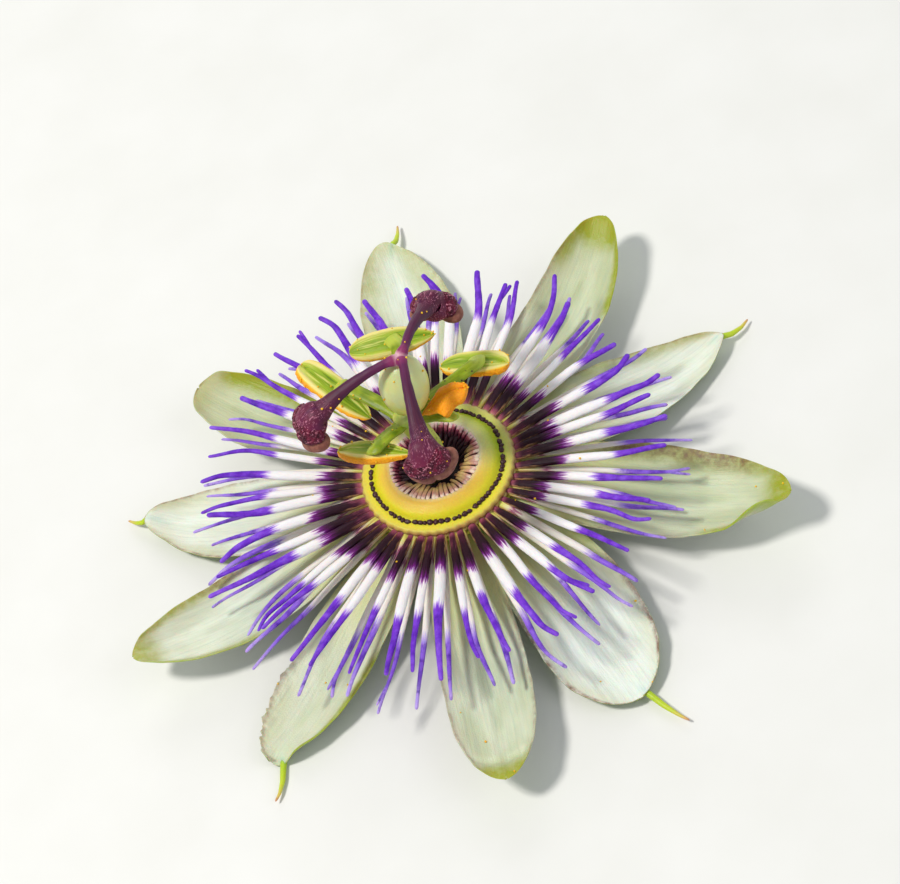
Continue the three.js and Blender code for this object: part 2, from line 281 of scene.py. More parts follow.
def turned(profile, segments):
    """Rings about the flower's axis from (radius, height) pairs."""
    turn = np.linspace(0, FULL_TURN, segments, endpoint=False)
    radius, height = np.asarray(profile, float).T[..., None]
    return np.stack([radius * np.cos(turn), radius * np.sin(turn), np.repeat(height, segments, 1)], -1)


def between(pairs, count):
    """A profile of (radius, height) pairs, filled in and slightly rounded."""
    return relax(spaced(np.array(pairs, float), count), 3)


def ball(columns, rows):
    """Rings of a unit sphere from its lowest point up, its poles left to the loft's ends."""
    tilt = np.linspace(-math.pi / 2, math.pi / 2, rows + 2)[1:-1]
    return turned(np.stack([np.cos(tilt), np.sin(tilt)], -1), columns)


def uneven(sphere, depth, lump, seed):
    """A unit sphere's rings, a little out of round."""
    return sphere * (1 + depth * wander(sphere, lump, seed)[..., None])


# ---- materials ----
PER_MM = 1000.0  # a texture scale of one lump to the millimetre, in object coordinates


def rgb(colour):
    """Linear colour from an sRGB triple of 0 to 255."""
    share = [c / 255 for c in colour]
    return [c / 12.92 if c <= 0.04045 else ((c + 0.055) / 1.055) ** 2.4 for c in share] + [1.0]


class Value:
    """A number that varies over a surface: a node's output, which adds and multiplies as plain numbers do."""

    def __init__(self, paint, socket):
        self.paint, self.socket = paint, socket

    def __add__(self, other):
        return self.paint.math("ADD", self, other)

    def __sub__(self, other):
        return self.paint.math("SUBTRACT", self, other)

    def __rsub__(self, other):
        return self.paint.math("SUBTRACT", other, self)

    def __mul__(self, other):
        return self.paint.math("MULTIPLY", self, other)

    def __abs__(self):
        return self.paint.math("ABSOLUTE", self)

    def scaled(self, low, high, to_low=0.0, to_high=1.0):
        """What lies from low to high, spread evenly from to_low to to_high and cut off beyond them."""
        made = self.paint.node("MapRange", i0=self, i1=low, i2=high, i3=to_low, i4=to_high)
        return Value(self.paint, made.outputs[0])

    def mask(self, start, stop, full=1.0):
        """0 at start, full at stop, and a soft step between, either way round."""
        made = self.paint.node("MapRange", i0=self, i1=start, i2=stop, i4=full)
        made.interpolation_type = "SMOOTHSTEP"
        return Value(self.paint, made.outputs[0])

    def ramp(self, *stops):
        """Colours by this value from 0 to 1."""
        made = self.paint.node("ValToRGB", Fac=self)
        points = made.color_ramp.elements
        while len(points) < len(stops):
            points.new(0.5)
        for point, (at, colour) in zip(points, stops):
            point.position = at
            point.color = rgb(colour)
        return made.outputs["Color"]

    def bands(self, low, high, *stops):
        """Colours by this value from low to high."""
        return self.scaled(low, high).ramp(*[((at - low) / (high - low), tone) for at, tone in stops])


class Paint:
    """A material and its node tree. Its colour is laid down first and then covered, layer by layer."""

    def __init__(self, name, **fixed):
        self.material = bpy.data.materials.new(name)
        self.material.use_nodes = True
        self.tree = self.material.node_tree
        self.shader = self.tree.nodes["Principled BSDF"]
        self.colour = None
        for key, value in fixed.items():
            self.shader.inputs[key.replace("_", " ")].default_value = value

    def feed(self, socket, value):
        if isinstance(value, Value):
            value = value.socket
        if isinstance(value, bpy.types.NodeSocket):
            self.tree.links.new(value, socket)
        else:
            socket.default_value = value

    def node(self, kind, **inputs):
        """A node with its inputs fed by name, or by number as i0, i1 and so on."""
        made = self.tree.nodes.new("ShaderNode" + kind)
        for key, value in inputs.items():
            self.feed(made.inputs[int(key[1:]) if key[0] == "i" and key[1:].isdigit() else key], value)
        return made

    def math(self, operation, a, b=0.0, clamp=False):
        made = self.node("Math", i0=a, i1=b)
        made.operation = operation
        made.use_clamp = clamp
        return Value(self, made.outputs[0])

    def values(self, *names):
        """Values that the piece holds at its points."""
        made = []
        for name in names:
            attribute = self.node("Attribute")
            attribute.attribute_name = name
            made.append(Value(self, attribute.outputs["Fac"]))
        return made if len(made) > 1 else made[0]

    def place(self):
        return self.node("TexCoord").outputs["Object"]

    def depth(self, axis):
        """A point's place along an axis, in metres."""
        return Value(self, self.node("SeparateXYZ", Vector=self.place()).outputs[axis])

    def noise(self, vector, scale, detail, rough):
        made = self.node("TexNoise", Vector=vector, Scale=scale, Detail=detail, Roughness=rough)
        return Value(self, made.outputs["Fac"])

    def grain(self, per_mm, detail=2.0, rough=0.5):
        """Noise with so many lumps to the millimetre."""
        return self.noise(self.place(), per_mm * PER_MM, detail, rough)

    def streaks(self, x, y, z=0.0, detail=2.0, rough=0.5):
        """Noise over values of the piece."""
        return self.noise(self.node("CombineXYZ", X=x, Y=y, Z=z).outputs[0], 1.0, detail, rough)

    def cells(self, per_mm):
        made = self.node("TexVoronoi", Vector=self.place(), Scale=per_mm * PER_MM)
        return Value(self, made.outputs["Distance"])

    def mix(self, share, a, b, blend="MIX"):
        made = self.node("Mix")
        made.data_type = "RGBA"
        made.blend_type = blend
        for key, value in ((0, share), (6, a), (7, b)):
            self.feed(made.inputs[key], rgb(value) if isinstance(value, tuple) else value)
        return made.outputs[2]

    def mottled(self, soft, a, b):
        return self.mix(soft.mask(0.35, 0.65), a, b)

    def cover(self, share, colour, blend="MIX"):
        self.colour = self.mix(share, self.colour, colour, blend)

    def finish(self, height=None, distance=0.0, strength=0.5, roughness=None):
        """The finished material. Its bumps are the height times the distance, in metres."""
        self.feed(self.shader.inputs["Base Color"], self.colour)
        if height is not None:
            bump = self.node("Bump", Strength=strength, Distance=distance, Height=height)
            self.feed(self.shader.inputs["Normal"], bump.outputs["Normal"])
        if roughness is not None:
            self.feed(self.shader.inputs["Roughness"], roughness)
        return self.material


def waxy(name, roughness, under, depth, **more):
    """A plant tissue's paint: a share of the light sinks in, to a depth in metres."""
    return Paint(name, Roughness=roughness, Subsurface_Weight=under, Subsurface_Scale=depth, **more)


# ---- tepals ----
class Blade:
    """A leaf-like CAD node's outline and heights, measured along the line from its base to its blade's end.

    Its end is rounded off from closing on: blunt is how full that is, and longer how far it's moved out."""

    STEP = 0.5
    NARROWEST = 1.3  # the blade ends where it's narrower
    CLOSING = 0.9  # the share of the length where the rounding starts

    def __init__(self, node, blunt, longer=0.0):
        self.solid = Solid(node)
        self.blunt = blunt
        radius, _ = polar(self.solid.points)
        base = self.solid.points[radius < radius.min() + 0.9].mean(0)
        tip = self.solid.points[radius.argmax()].copy()
        for _ in range(2):
            self.base = np.array([base[0], base[1], 0])
            self.along = unit([tip[0] - base[0], tip[1] - base[1], 0])
            self.across = np.cross(UP, self.along)
            steps = np.arange(0.4, (tip - self.base) @ self.along, self.STEP)
            sides = np.array([self.sides(s) for s in steps])
            last = np.flatnonzero(sides[:, 1] - sides[:, 0] > self.NARROWEST)[-1]
            tip = self.base + self.along * steps[last] + self.across * sides[last].mean()
        self.length = steps[last] + self.STEP + longer
        self.s = steps[: last + 1]
        self.closing = self.CLOSING * self.length
        self.outline = relax(sides[: last + 1], 6)
        beyond = self.s >= self.closing
        kept = np.flatnonzero(~beyond)[-1]
        slope = (self.outline[kept] - self.outline[kept - 4]) / (4 * self.STEP)
        self.outline[beyond] = self.outline[kept] + slope * (self.s[beyond] - self.s[kept])[:, None]
        self.heights = relax(np.array([self.fit(s, *side) for s, side in zip(self.s, sides)]), 14)

    def sides(self, s):
        cut = (self.solid.section(self.base + self.along * s, self.along) - self.base) @ self.across
        return (cut.min(), cut.max()) if len(cut) else (0.0, 0.0)

    def fit(self, s, low, high):
        """Height across the blade as a parabola, from rays down on it."""
        places, found = [], []
        for v in (-0.85, -0.5, 0.0, 0.5, 0.85):
            x, y, _ = self.base + self.along * s + self.across * ((low + high) / 2 + v * (high - low) / 2)
            z = self.solid.top(x, y)
            if z is not None:
                places.append(v)
                found.append(z)
        return np.polyfit(places, found, 2) if len(found) > 3 else np.array([0.0, 0.0, np.mean(found)])

    def at(self, u, v):
        """Points on the blade's upper face, and its half width there."""
        s = u * self.length
        low, high = (np.interp(s, self.s, side) for side in self.outline.T)
        shut = np.clip((s - self.closing) / (self.length - self.closing), 0, 1)
        half = (high - low) / 2 * np.sqrt(np.clip(1 - shut ** self.blunt, 0.006, 1))
        a, b, c = (np.interp(s, self.s, term) for term in self.heights.T)
        aside = (low + high) / 2 + v * half
        points = self.base + self.along * s[..., None] + self.across * aside[..., None]
        points[..., 2] = a * v * v + b * v + c
        return points, half


def leaf(shape, blade, form, thickness=0.42, rows=100, columns=45):
    """A blade's closed body. form(u, v, points) moves the upper face's points and returns more values.

    u runs from 0 at the base to 1 at the end, and v from -1 at the clockwise margin to 1 at the other."""
    u = 1 - (1 - np.linspace(0, 1, rows)) ** 1.5
    widest = math.pi / 2 * 0.92
    v = np.sin(np.linspace(-1, 1, columns) * widest) / math.sin(widest)
    u, v = np.meshgrid(u, v, indexing="ij")
    points, half = blade.at(u, v)
    marks = {"along": u * blade.length, "across": v * half, "u": u, **form(u, v, points)}
    normal = np.cross(np.gradient(points, axis=1), np.gradient(points, axis=0))
    size = np.linalg.norm(normal, axis=-1, keepdims=True)
    normal = np.where(size > 1e-9, normal / np.maximum(size, 1e-9), -UP)
    normal *= -np.sign((normal @ UP).mean())
    thin = thickness * (1 - 0.55 * np.abs(v) ** 3) * (1 - 0.5 * ease(u, 0.85, 1))
    under = points + normal * thin[..., None]
    n = rows * columns
    faces = []
    for i in range(rows - 1):
        for j in range(columns - 1):
            a, d = i * columns + j, (i + 1) * columns + j
            faces += [(a, a + 1, d + 1, d), (n + d, n + d + 1, n + a + 1, n + a)]
    rim = [i * columns for i in range(rows)] + [n - columns + j for j in range(1, columns)]
    rim += [i * columns + columns - 1 for i in range(rows - 2, -1, -1)] + list(range(columns - 2, 0, -1))
    faces += [(a, b, n + b, n + a) for a, b in zip(rim, rim[1:] + rim[:1])]
    both = {name: np.tile(mark.ravel(), 2) for name, mark in marks.items()}
    both["face"] = np.repeat([1.0, 0.0], n)
    shape.add(np.concatenate([points.reshape(-1, 3), under.reshape(-1, 3)]), faces, **both)


# Each tepal's own habit. Places run from 0 at the base to 1 at the blade's end. Sides are 1 anticlockwise and
# -1 clockwise, seen from above, and 0 is both.
# deep: painted shade and painted light over the whole tepal; over 0 it is painted darker and greener as if
# shaded, under 0 whiter as if brightly lit.
# olive, brown: stained margins as (side, from, to, share of the half blade, strength).
# ripple: how far the margins wave. curl: how far each margin, anticlockwise first, turns up.
# fold: the depth of the long soft folds. hood: how far the end turns up.
# blunt, longer: how full the end is, and how far it's moved out.
# torn, rolled: a ragged or rolled-in margin as (side, from, to, depth or height).
# crease: where a crease crosses the blade. horn: how far a sepal's horn reaches past the plain solid's.
TEPALS = {
    "sepal_1": dict(
        deep=-0.1, olive=[(0, 0.4, 1.1, 0.65, 0.5), (0, 0.93, 1.1, 2.0, 0.4)],
        brown=[(0, 0.5, 1.0, 0.05, 0.3)],
        ripple=0.3, curl=(0.4, 0.3), fold=0.15, hood=0.2, blunt=2.2, horn=4.3),
    "sepal_2": dict(
        deep=-0.05, olive=[(1, 0.4, 0.98, 0.3, 0.6)],
        brown=[(1, 0.35, 1.0, 0.05, 0.45), (0, 0.97, 1.05, 0.3, 0.4)],
        ripple=0.25, curl=(0.6, 0.3), fold=0.3, hood=0.3, blunt=1.7),
    "sepal_3": dict(
        deep=-0.45, olive=[(1, 0.2, 0.6, 0.25, 0.4), (0, 0.5, 1.1, 0.3, 0.2)],
        brown=[(0, 0.4, 1.05, 0.07, 0.8)],
        ripple=0.45, curl=(0.2, 0.2), fold=0.2, hood=-0.3, blunt=2.2),
    "sepal_4": dict(
        deep=0.35, olive=[(1, 0.45, 0.99, 0.16, 1.0)], brown=[(-1, 0.45, 1.0, 0.12, 0.4)],
        ripple=0.25, curl=(0.9, 0.1), fold=0.3, hood=0.1, blunt=3.2, torn=(-1, 0.5, 0.99, 0.5)),
    "sepal_5": dict(
        deep=-0.1, olive=[(0, 0.6, 1.1, 0.3, 0.3)], brown=[(0, 0.45, 1.05, 0.06, 0.55)],
        ripple=0.2, curl=(0.3, 0.5), fold=0.2, hood=0.3, blunt=3.4, longer=0.3),
    "petal_1": dict(
        deep=0.35, olive=[(0, 0.89, 1.1, 2.0, 1.3), (-1, 0.6, 1.0, 0.2, 1.0), (1, 0.76, 1.0, 0.35, 0.8)],
        brown=[(1, 0.42, 0.86, 0.08, 0.5)],
        ripple=0.15, curl=(1.0, 0.6), fold=0.5, hood=0.9, blunt=2.8, rolled=(1, 0.5, 0.96, 0.6)),
    "petal_2": dict(
        deep=0.3, olive=[(0, 0.9, 1.1, 2.0, 1.0), (-1, 0.7, 1.1, 0.16, 1.0), (1, 0.3, 1.0, 0.35, 0.75)],
        brown=[(1, 0.28, 0.84, 0.3, 0.75), (-1, 0.2, 0.6, 0.06, 0.5)],
        ripple=0.25, curl=(0.5, 1.0), fold=0.3, hood=1.1, blunt=2.9, rolled=(-1, 0.78, 1.0, 1.7)),
    "petal_3": dict(
        deep=0.1, olive=[(0, 0.92, 1.1, 2.0, 1.0)], brown=[(0, 0.3, 0.95, 0.07, 0.45)],
        ripple=0.3, curl=(0.4, 0.4), fold=0.35, hood=0.8, blunt=2.6, crease=0.91),
    "petal_4": dict(
        deep=-0.2, olive=[(0, 0.91, 1.1, 2.0, 0.8), (0, 0.55, 1.1, 0.2, 0.8)],
        brown=[(-1, 0.4, 0.7, 0.12, 0.6)],
        ripple=0.2, curl=(0.6, 0.8), fold=0.6, hood=0.7, blunt=2.8),
    "petal_5": dict(
        deep=0.5, olive=[(-1, 0.3, 0.93, 0.42, 1.3), (0, 0.94, 1.1, 2.0, 0.3)],
        brown=[(-1, 0.42, 0.6, 0.1, 0.6)],
        ripple=0.25, curl=(0.4, 1.1), fold=0.3, hood=0.6, blunt=3.0, longer=-1.0),
}


def stains(u, v, margins):
    """How strongly a list of stained margins covers each point."""
    made = np.zeros_like(u)
    for side, start, stop, width, strength in margins:
        edge = np.abs(v) if side == 0 else np.clip(v * side, 0, 1)
        near = ease(edge, 1 - 1.6 * width, 1 - 0.25 * width)
        fade = ease(u, start - 0.05, start + 0.06) * ease(u, stop + 0.05, stop - 0.06)
        made = np.maximum(made, strength * near * fade)
    return made


def tepal_form(blade, habit, seed):
    def form(u, v, points):
        side, edge = np.sign(v), np.abs(v)
        end = ease(u, 1.0, 0.93)
        free = ease(u, 0.25, 0.5) * end
        curl = np.where(side > 0, *habit["curl"]) * edge ** 3.5 * ease(u, 0.4, 0.9) * end
        rise = curl + habit["ripple"] * free * edge ** 2.5 * wave(u * 11, v * 0.9, seed + 1)
        shift = 0.16 * free * wave(u * 14, side * 3, seed + 40) * edge ** 6 * side - 0.4 * curl * side
        if "torn" in habit:
            torn_side, start, stop, depth = habit["torn"]
            torn = ease(u, start, start + 0.1) * ease(u, stop + 0.03, stop - 0.02)
            torn = torn * np.clip(v * torn_side, 0, 1) ** 5
            rough = 0.7 * wave(u * 24, v * 2, seed + 3) + 0.7 * wave(u * 70, v * 3, seed + 5)
            rough = rough + 0.6 * np.abs(wave(u * 130, v * 3, seed + 6))
            shift = shift + torn_side * depth * torn * (rough - 0.25)
            frayed = wave(u * 75, v * 4, seed + 9) + 0.5 * wave(u * 20, v * 4, seed + 12)
            rise = rise + depth * torn * frayed
        rise = rise + habit["fold"] * wave(v * 2.2, u * 0.8, seed + 17) * free * (1 - edge ** 4)
        rise = rise - 0.2 * bump_at(v, 0, 0.09) * ease(u, 0.1, 0.3) * ease(u, 0.97, 0.75)
        if "rolled" in habit:
            rolled_side, start, stop, height = habit["rolled"]
            roll = ease(u, start, start + 0.12) * ease(u, stop, stop - 0.1) * ease(v * rolled_side, 0.45, 1.1)
            rise = rise + height * roll
            shift = shift - 0.4 * rolled_side * height * roll
        if "crease" in habit:
            rise = rise - 0.5 * bump_at(u + 0.03 * v ** 2, habit["crease"], 0.018) * (1 - edge ** 6)
        rise = rise + habit["hood"] * ease(u, 0.86, 1.0) ** 1.6 + 0.05 * wander(points, 2.6, seed + 23)
        points += blade.across * shift[..., None] + UP * rise[..., None]
        return dict(olive=stains(u, v, habit["olive"]), brown=stains(u, v, habit["brown"]),
                    deep=np.full_like(u, habit["deep"]), awn=np.zeros_like(u))

    return form


def tepal_paint(name, fresh, cool, pale, under):
    """Satin tissue with fine lengthwise streaks, painted shade and painted light over whole tepals, a
    yellower base that is partly painted shade, stained margins and a green horn.
    """
    paint = waxy(name, 0.45, 0.3, 0.0015, Sheen_Weight=0.15, Sheen_Roughness=0.4, Specular_IOR_Level=0.4)
    along, across, deep, face, awn, u = paint.values("along", "across", "deep", "face", "awn", "u")
    streak = paint.streaks(along * 0.16, across * 2.6, detail=4.0, rough=0.6)
    broad = paint.streaks(along * 0.12, across * 0.35)
    fine, blotch = paint.grain(5.5, 1.0), paint.grain(0.9, 3.0, 0.6)
    paint.colour = paint.mix(broad.mask(0.35, 0.7), fresh, pale)
    # Painted shade and painted light: a tepal whose deep value is over 0 is painted darker and greener, as
    # shaded, and one under 0 is painted whiter, as lit.
    paint.cover(deep.scaled(0.0, 1.0), (172, 182, 118))
    paint.cover(deep.scaled(0.0, -1.0), (244, 246, 240))
    # Partly painted shade: the yellower base is partly the tissue's own tint and partly the olive-yellow that
    # shaded, translucent tissue shows between the filaments.
    paint.cover(along.mask(20.0, 7.0), (206, 208, 148))
    paint.cover(streak.scaled(0.45, 0.8, 0.0, 0.4), cool)
    olive, brown = paint.values("olive", "brown")
    olive = paint.math("MULTIPLY", olive, blotch.scaled(0.3, 0.6, 0.75, 1.1), clamp=True)
    brown = paint.math("MULTIPLY", brown, blotch.scaled(0.35, 0.65, 0.3, 1.2), clamp=True)
    paint.cover(olive, (146, 162, 36))
    paint.cover(brown, (112, 86, 74))
    back = paint.mix(streak.scaled(0.3, 0.7), under, tuple(int(c * 0.86) for c in under))
    back = paint.mix(olive, back, (152, 184, 44))
    paint.colour = paint.mix(face.mask(0.35, 0.65), back, paint.colour)
    horn = u.ramp((0.0, (150, 185, 40)), (0.7, (186, 208, 40)), (0.9, (205, 185, 90)), (1.0, (190, 130, 105)))
    paint.cover(awn.mask(0.4, 0.6), horn)
    return paint.finish(streak * 0.8 + fine * 0.35, 0.00022, 0.6, fine.scaled(0.3, 0.7, 0.34, 0.5))


AWN_BOW = np.array([0.1, -0.7, 0.0])  # how far a horn bends aside at its middle
AWN_BELOW = 1.25  # what lies lower on a plain sepal belongs to its horn


def awn_path(blade, shape, longer):
    """A sepal's horn, from the finished blade's back to the plain horn's tip, or longer."""
    low = blade.solid.points[blade.solid.points[:, 2] < AWN_BELOW]
    place = (low - blade.base) @ blade.along
    tip = low[place > place.max() - 0.25].mean(0) + blade.along * longer
    skin = BVHTree.FromPolygons(np.concatenate(shape.points).tolist(), shape.faces)
    root, _ = blade.at(np.array(0.9), np.array(0.0))
    path = []
    for share in np.linspace(0, 0.5, 8):
        x, y, _ = root + share * (tip - root)
        under = skin.ray_cast(Vector((x, y, -9.0)), Vector(UP))[0]
        if under is not None:
            path.append(np.array([x, y, max(under[2] - 0.3 + 0.12 * share, 0.4)]))
    last = path[-1]
    for share in (0.35, 0.7):
        path.append(last + (tip - last) * [share, share, share ** 0.8] + AWN_BOW * math.sin(share * math.pi))
    return resample(np.array([*path, tip]), 30, 1.3)


TISSUES = {
    "sepal": tepal_paint("sepal_tissue", (214, 219, 196), (166, 184, 170), (230, 232, 218), (146, 172, 96)),
    "petal": tepal_paint("petal_tissue", (190, 201, 170), (152, 174, 160), (214, 222, 198), (196, 206, 176)),
}

for seed, (name, habit) in enumerate(TEPALS.items(), 1):
    kind = name.split("_")[0]
    blade = Blade(name, habit["blunt"], habit.get("longer", 0.0))
    shape = Shape()
    leaf(shape, blade, tepal_form(blade, habit, float(seed)))
    if kind == "sepal":
        path, share = awn_path(blade, shape, habit.get("horn", 0.0))
        size = np.interp(share, (0, 0.25, 0.6, 1), (0.3, 0.5, 0.4, 0.14)) * rounded(share, 8.0, 0.4)
        rings, _ = tube(path, size, size * 0.9, 10)
        shape.loft(rings, u=share[:, None], face=1, awn=1, along=0, across=0, olive=0, brown=0, deep=0)
    shape.piece(name + "_skin", TISSUES[kind], kind, name)


# ---- corona filaments ----
def islands(solid, beyond):
    """The groups of points that a solid's faces join, among the points farther than this from the axis."""
    keys, weld = np.unique(np.round(solid.points, 3), axis=0, return_inverse=True)
    far = polar(keys)[0] > beyond
    leader = list(range(len(keys)))

    def find(i):
        while leader[i] != i:
            leader[i] = leader[leader[i]]
            i = leader[i]
        return i

    for face in weld.ravel()[solid.faces].tolist():
        if all(far[i] for i in face):
            a, b, c = map(find, face)
            leader[b] = a
            leader[find(c)] = a
    groups = {}
    for i in np.flatnonzero(far).tolist():
        groups.setdefault(find(i), []).append(i)
    return [keys[group] for group in groups.values() if len(group) > 7]


FREE_BEYOND = 17.5  # farther than this from the axis a row's plain filaments stand apart


def filament_curves(node):
    """Each filament's root-to-tip curve as the three terms of a parabola, in order round the flower."""
    curves = []
    for points in islands(Solid(node), FREE_BEYOND):
        radius, _ = polar(points)
        inner, outer = radius < radius.min() + 2.2, radius > radius.max() - 1.3
        known = [points[part].mean(0) for part in (inner, ~inner & ~outer, outer)]
        curves.append(np.polyfit((0.5, 0.75, 1.0), known, 2))
    return sorted(curves, key=lambda c: math.atan2(*c.sum(0)[1::-1]))


THREAD_FLATNESS = 0.74  # a filament's thickness as a share of its width
FORK_CHANCE = 0.08


def filament(shape, curve, rng, widths, hook, root_rise, steps=56, sides=10):
    """A flattened, slightly knobbly thread whose blunt end often turns aside, and sometimes forks."""
    t = 1 - (1 - np.linspace(0, 1, steps)) ** 1.25
    path = np.stack([np.polyval(curve[:, k], t * rng.uniform(0.99, 1.07)) for k in range(3)], -1)
    across = np.cross(UP, unit((path[-1] - path[0]) * LEVEL))
    seed = rng.uniform(0, 90)
    bend = rng.gauss(0.35, 0.7) * hook
    crook = rng.uniform(0.2, 1.3) * hook * (rng.random() < 0.4)
    sway = 0.5 * ease(t, 0.25, 0.9) * wave(t / 0.35, 0, seed) + bend * ease(t, 0.6, 1.06) ** 1.7
    sway += crook * ease(t, 0.84, 1.04) ** 1.5
    lift = 0.35 * ease(t, 0.3, 1) * wave(t / 0.4, 0, seed + 5)
    lift += rng.uniform(-0.3, 1.9) * hook * ease(t, 0.6, 1.05) ** 1.6 + root_rise * ease(t, 0.3, 0.05)
    path = path + across * sway[:, None] + UP * lift[:, None]
    length = np.linalg.norm(np.diff(path, axis=0), axis=1).sum()
    dist, _ = polar(path)
    wide = np.interp(dist, *widths) * rng.uniform(0.82, 1.2)
    knobs = 1 + 0.1 * wave(t * length / 0.9, 0, seed + 11) * ease(t, 0.5, 0.75)
    knobs += 0.04 * wave(t * length / 0.5, 0, seed)
    wide = wide * knobs * rounded(t, length, 0.42, both=False)
    tints = dict(tint=rng.uniform(-1, 1), tip_tint=rng.uniform(-1, 1), seed=seed)
    shape.rod(path, wide, wide * THREAD_FLATNESS, sides, dist=dist[:, None], **tints)
    if rng.random() < FORK_CHANCE:
        start = int(steps * rng.uniform(0.74, 0.82))
        share = np.linspace(0, 1, 22)
        reach = unit(path[start + 3] - path[start]) * rng.uniform(2.0, 3.2)
        turned_by = rng.choice((-1, 1)) * rng.uniform(0.5, 0.8)
        twig = path[start] + np.outer(share, reach) + np.outer(turned_by * share ** 0.8, across)
        twig = twig - np.outer(0.25 * share, UP)
        wide = 0.85 * wide[start] * (1 - 0.2 * share) * rounded(share, np.linalg.norm(reach), 0.4, both=False)
        shape.rod(twig, wide, wide * THREAD_FLATNESS, sides, dist=polar(twig)[0][:, None], **tints)


def corona_paint(name, bands):
    """Colour bands by distance from the axis, feathered lengthwise, with pale flanks near the root."""
    paint = waxy(name, 0.52, 0.2, 0.0006, Specular_IOR_Level=0.22)
    dist, around, seed, tint, tip_tint = paint.values("dist", "around", "seed", "tint", "tip_tint")
    streak = paint.streaks(dist * 0.28, around * 4.2, seed, 3.0, 0.7)
    fine = paint.streaks(dist * 1.1, around * 6.0, seed, 3.0)
    ragged = streak.scaled(0.28, 0.72, -1.1, 1.1)
    outer = dist.mask(19.0, 21.0)
    shift = (tint * 1.1 + ragged) * (1.0 - outer) + (tip_tint * 1.3 + ragged * 0.8) * outer
    nearer = paint.depth("Y").mask(0.004, -0.006) * dist.mask(14.0, 12.0, 0.45)
    mark = dist + (shift * dist.mask(11.2, 13.0) + nearer)
    paint.colour = mark.bands(9.0, 35.0, *bands)
    flank = (abs(around) + fine.scaled(0.3, 0.7, -0.12, 0.12)).mask(0.74, 0.98) * dist.mask(14.8, 11.8)
    paint.cover(flank * 0.75, (206, 164, 112))
    cloud = paint.grain(0.7, 3.0, 0.6)
    violet = mark.mask(23.95, 24.6)
    paint.cover(violet * cloud.scaled(0.5, 0.75, 0.0, 0.5), (156, 116, 236))
    paint.cover(violet * cloud.scaled(0.5, 0.28, 0.0, 0.8), (74, 14, 158))
    paint.cover(fine.scaled(0.4, 0.8, 0.0, 0.3), (225, 205, 235), "SOFT_LIGHT")
    paint.cover(fine.scaled(0.6, 0.3, 0.0, 0.35), (60, 30, 90), "SOFT_LIGHT")
    return paint.finish(fine * 0.6 + paint.grain(1.8) * 0.7, 0.00014, 0.6, fine.scaled(0.3, 0.7, 0.38, 0.54))


# Each row's colours by distance from the axis, its filaments' half widths as (distances, widths), how
# strongly their ends turn aside, how far their roots are lifted, and the seed of its random draws.
ROWS = {
    "corona_upper_row": dict(bands=[
        (9.6, (206, 204, 96)), (10.5, (210, 168, 134)), (11.1, (162, 86, 104)), (11.9, (70, 19, 44)),
        (12.6, (42, 8, 25)), (15.0, (38, 6, 26)), (16.0, (76, 14, 74)), (16.8, (126, 34, 138)),
        (17.3, (206, 170, 216)), (17.7, (236, 233, 232)), (22.7, (236, 235, 238)), (23.2, (196, 168, 230)),
        (23.8, (122, 56, 206)), (29.0, (110, 44, 200)), (33.0, (132, 74, 212)),
    ], widths=((9.5, 11, 12.5, 15, 18, 22, 24, 25.5, 29, 33),
               (0.44, 0.52, 0.61, 0.65, 0.67, 0.65, 0.54, 0.46, 0.38, 0.28)),
        hook=1.1, root_rise=0.0, seed=7),
    "corona_lower_row": dict(bands=[
        (9.6, (206, 208, 84)), (11.5, (216, 212, 110)), (12.8, (226, 218, 170)), (13.4, (214, 180, 178)),
        (13.9, (150, 70, 108)), (14.4, (176, 110, 140)), (15.0, (232, 226, 208)), (23.4, (238, 234, 226)),
        (24.4, (206, 192, 228)), (25.6, (146, 104, 216)), (30.0, (128, 82, 206)), (33.5, (186, 164, 232)),
    ], widths=((9.5, 12, 13.5, 18, 24, 28, 33), (0.60, 0.58, 0.48, 0.47, 0.43, 0.34, 0.23)),
        hook=0.9, root_rise=0.7, seed=19),
}

for node, row in ROWS.items():
    rng = random.Random(row["seed"])
    shape = Shape()
    for curve in filament_curves(node):
        filament(shape, curve, rng, row["widths"], row["hook"], row["root_rise"])
    top = Solid(node).top(9.3, 0.0)
    ring = between([(9.1, top - 0.35), (9.1, top), (10.6, top), (10.6, top - 0.4)], 14)
    rings = turned([*ring, ring[0]], 96)
    shape.band(rings, closed=False, dist=polar(rings)[0] - 0.9, around=0, tint=0, tip_tint=0, seed=0)
    shape.piece(node + "_threads", corona_paint(node + "_tissue", row["bands"]), "corona", node)


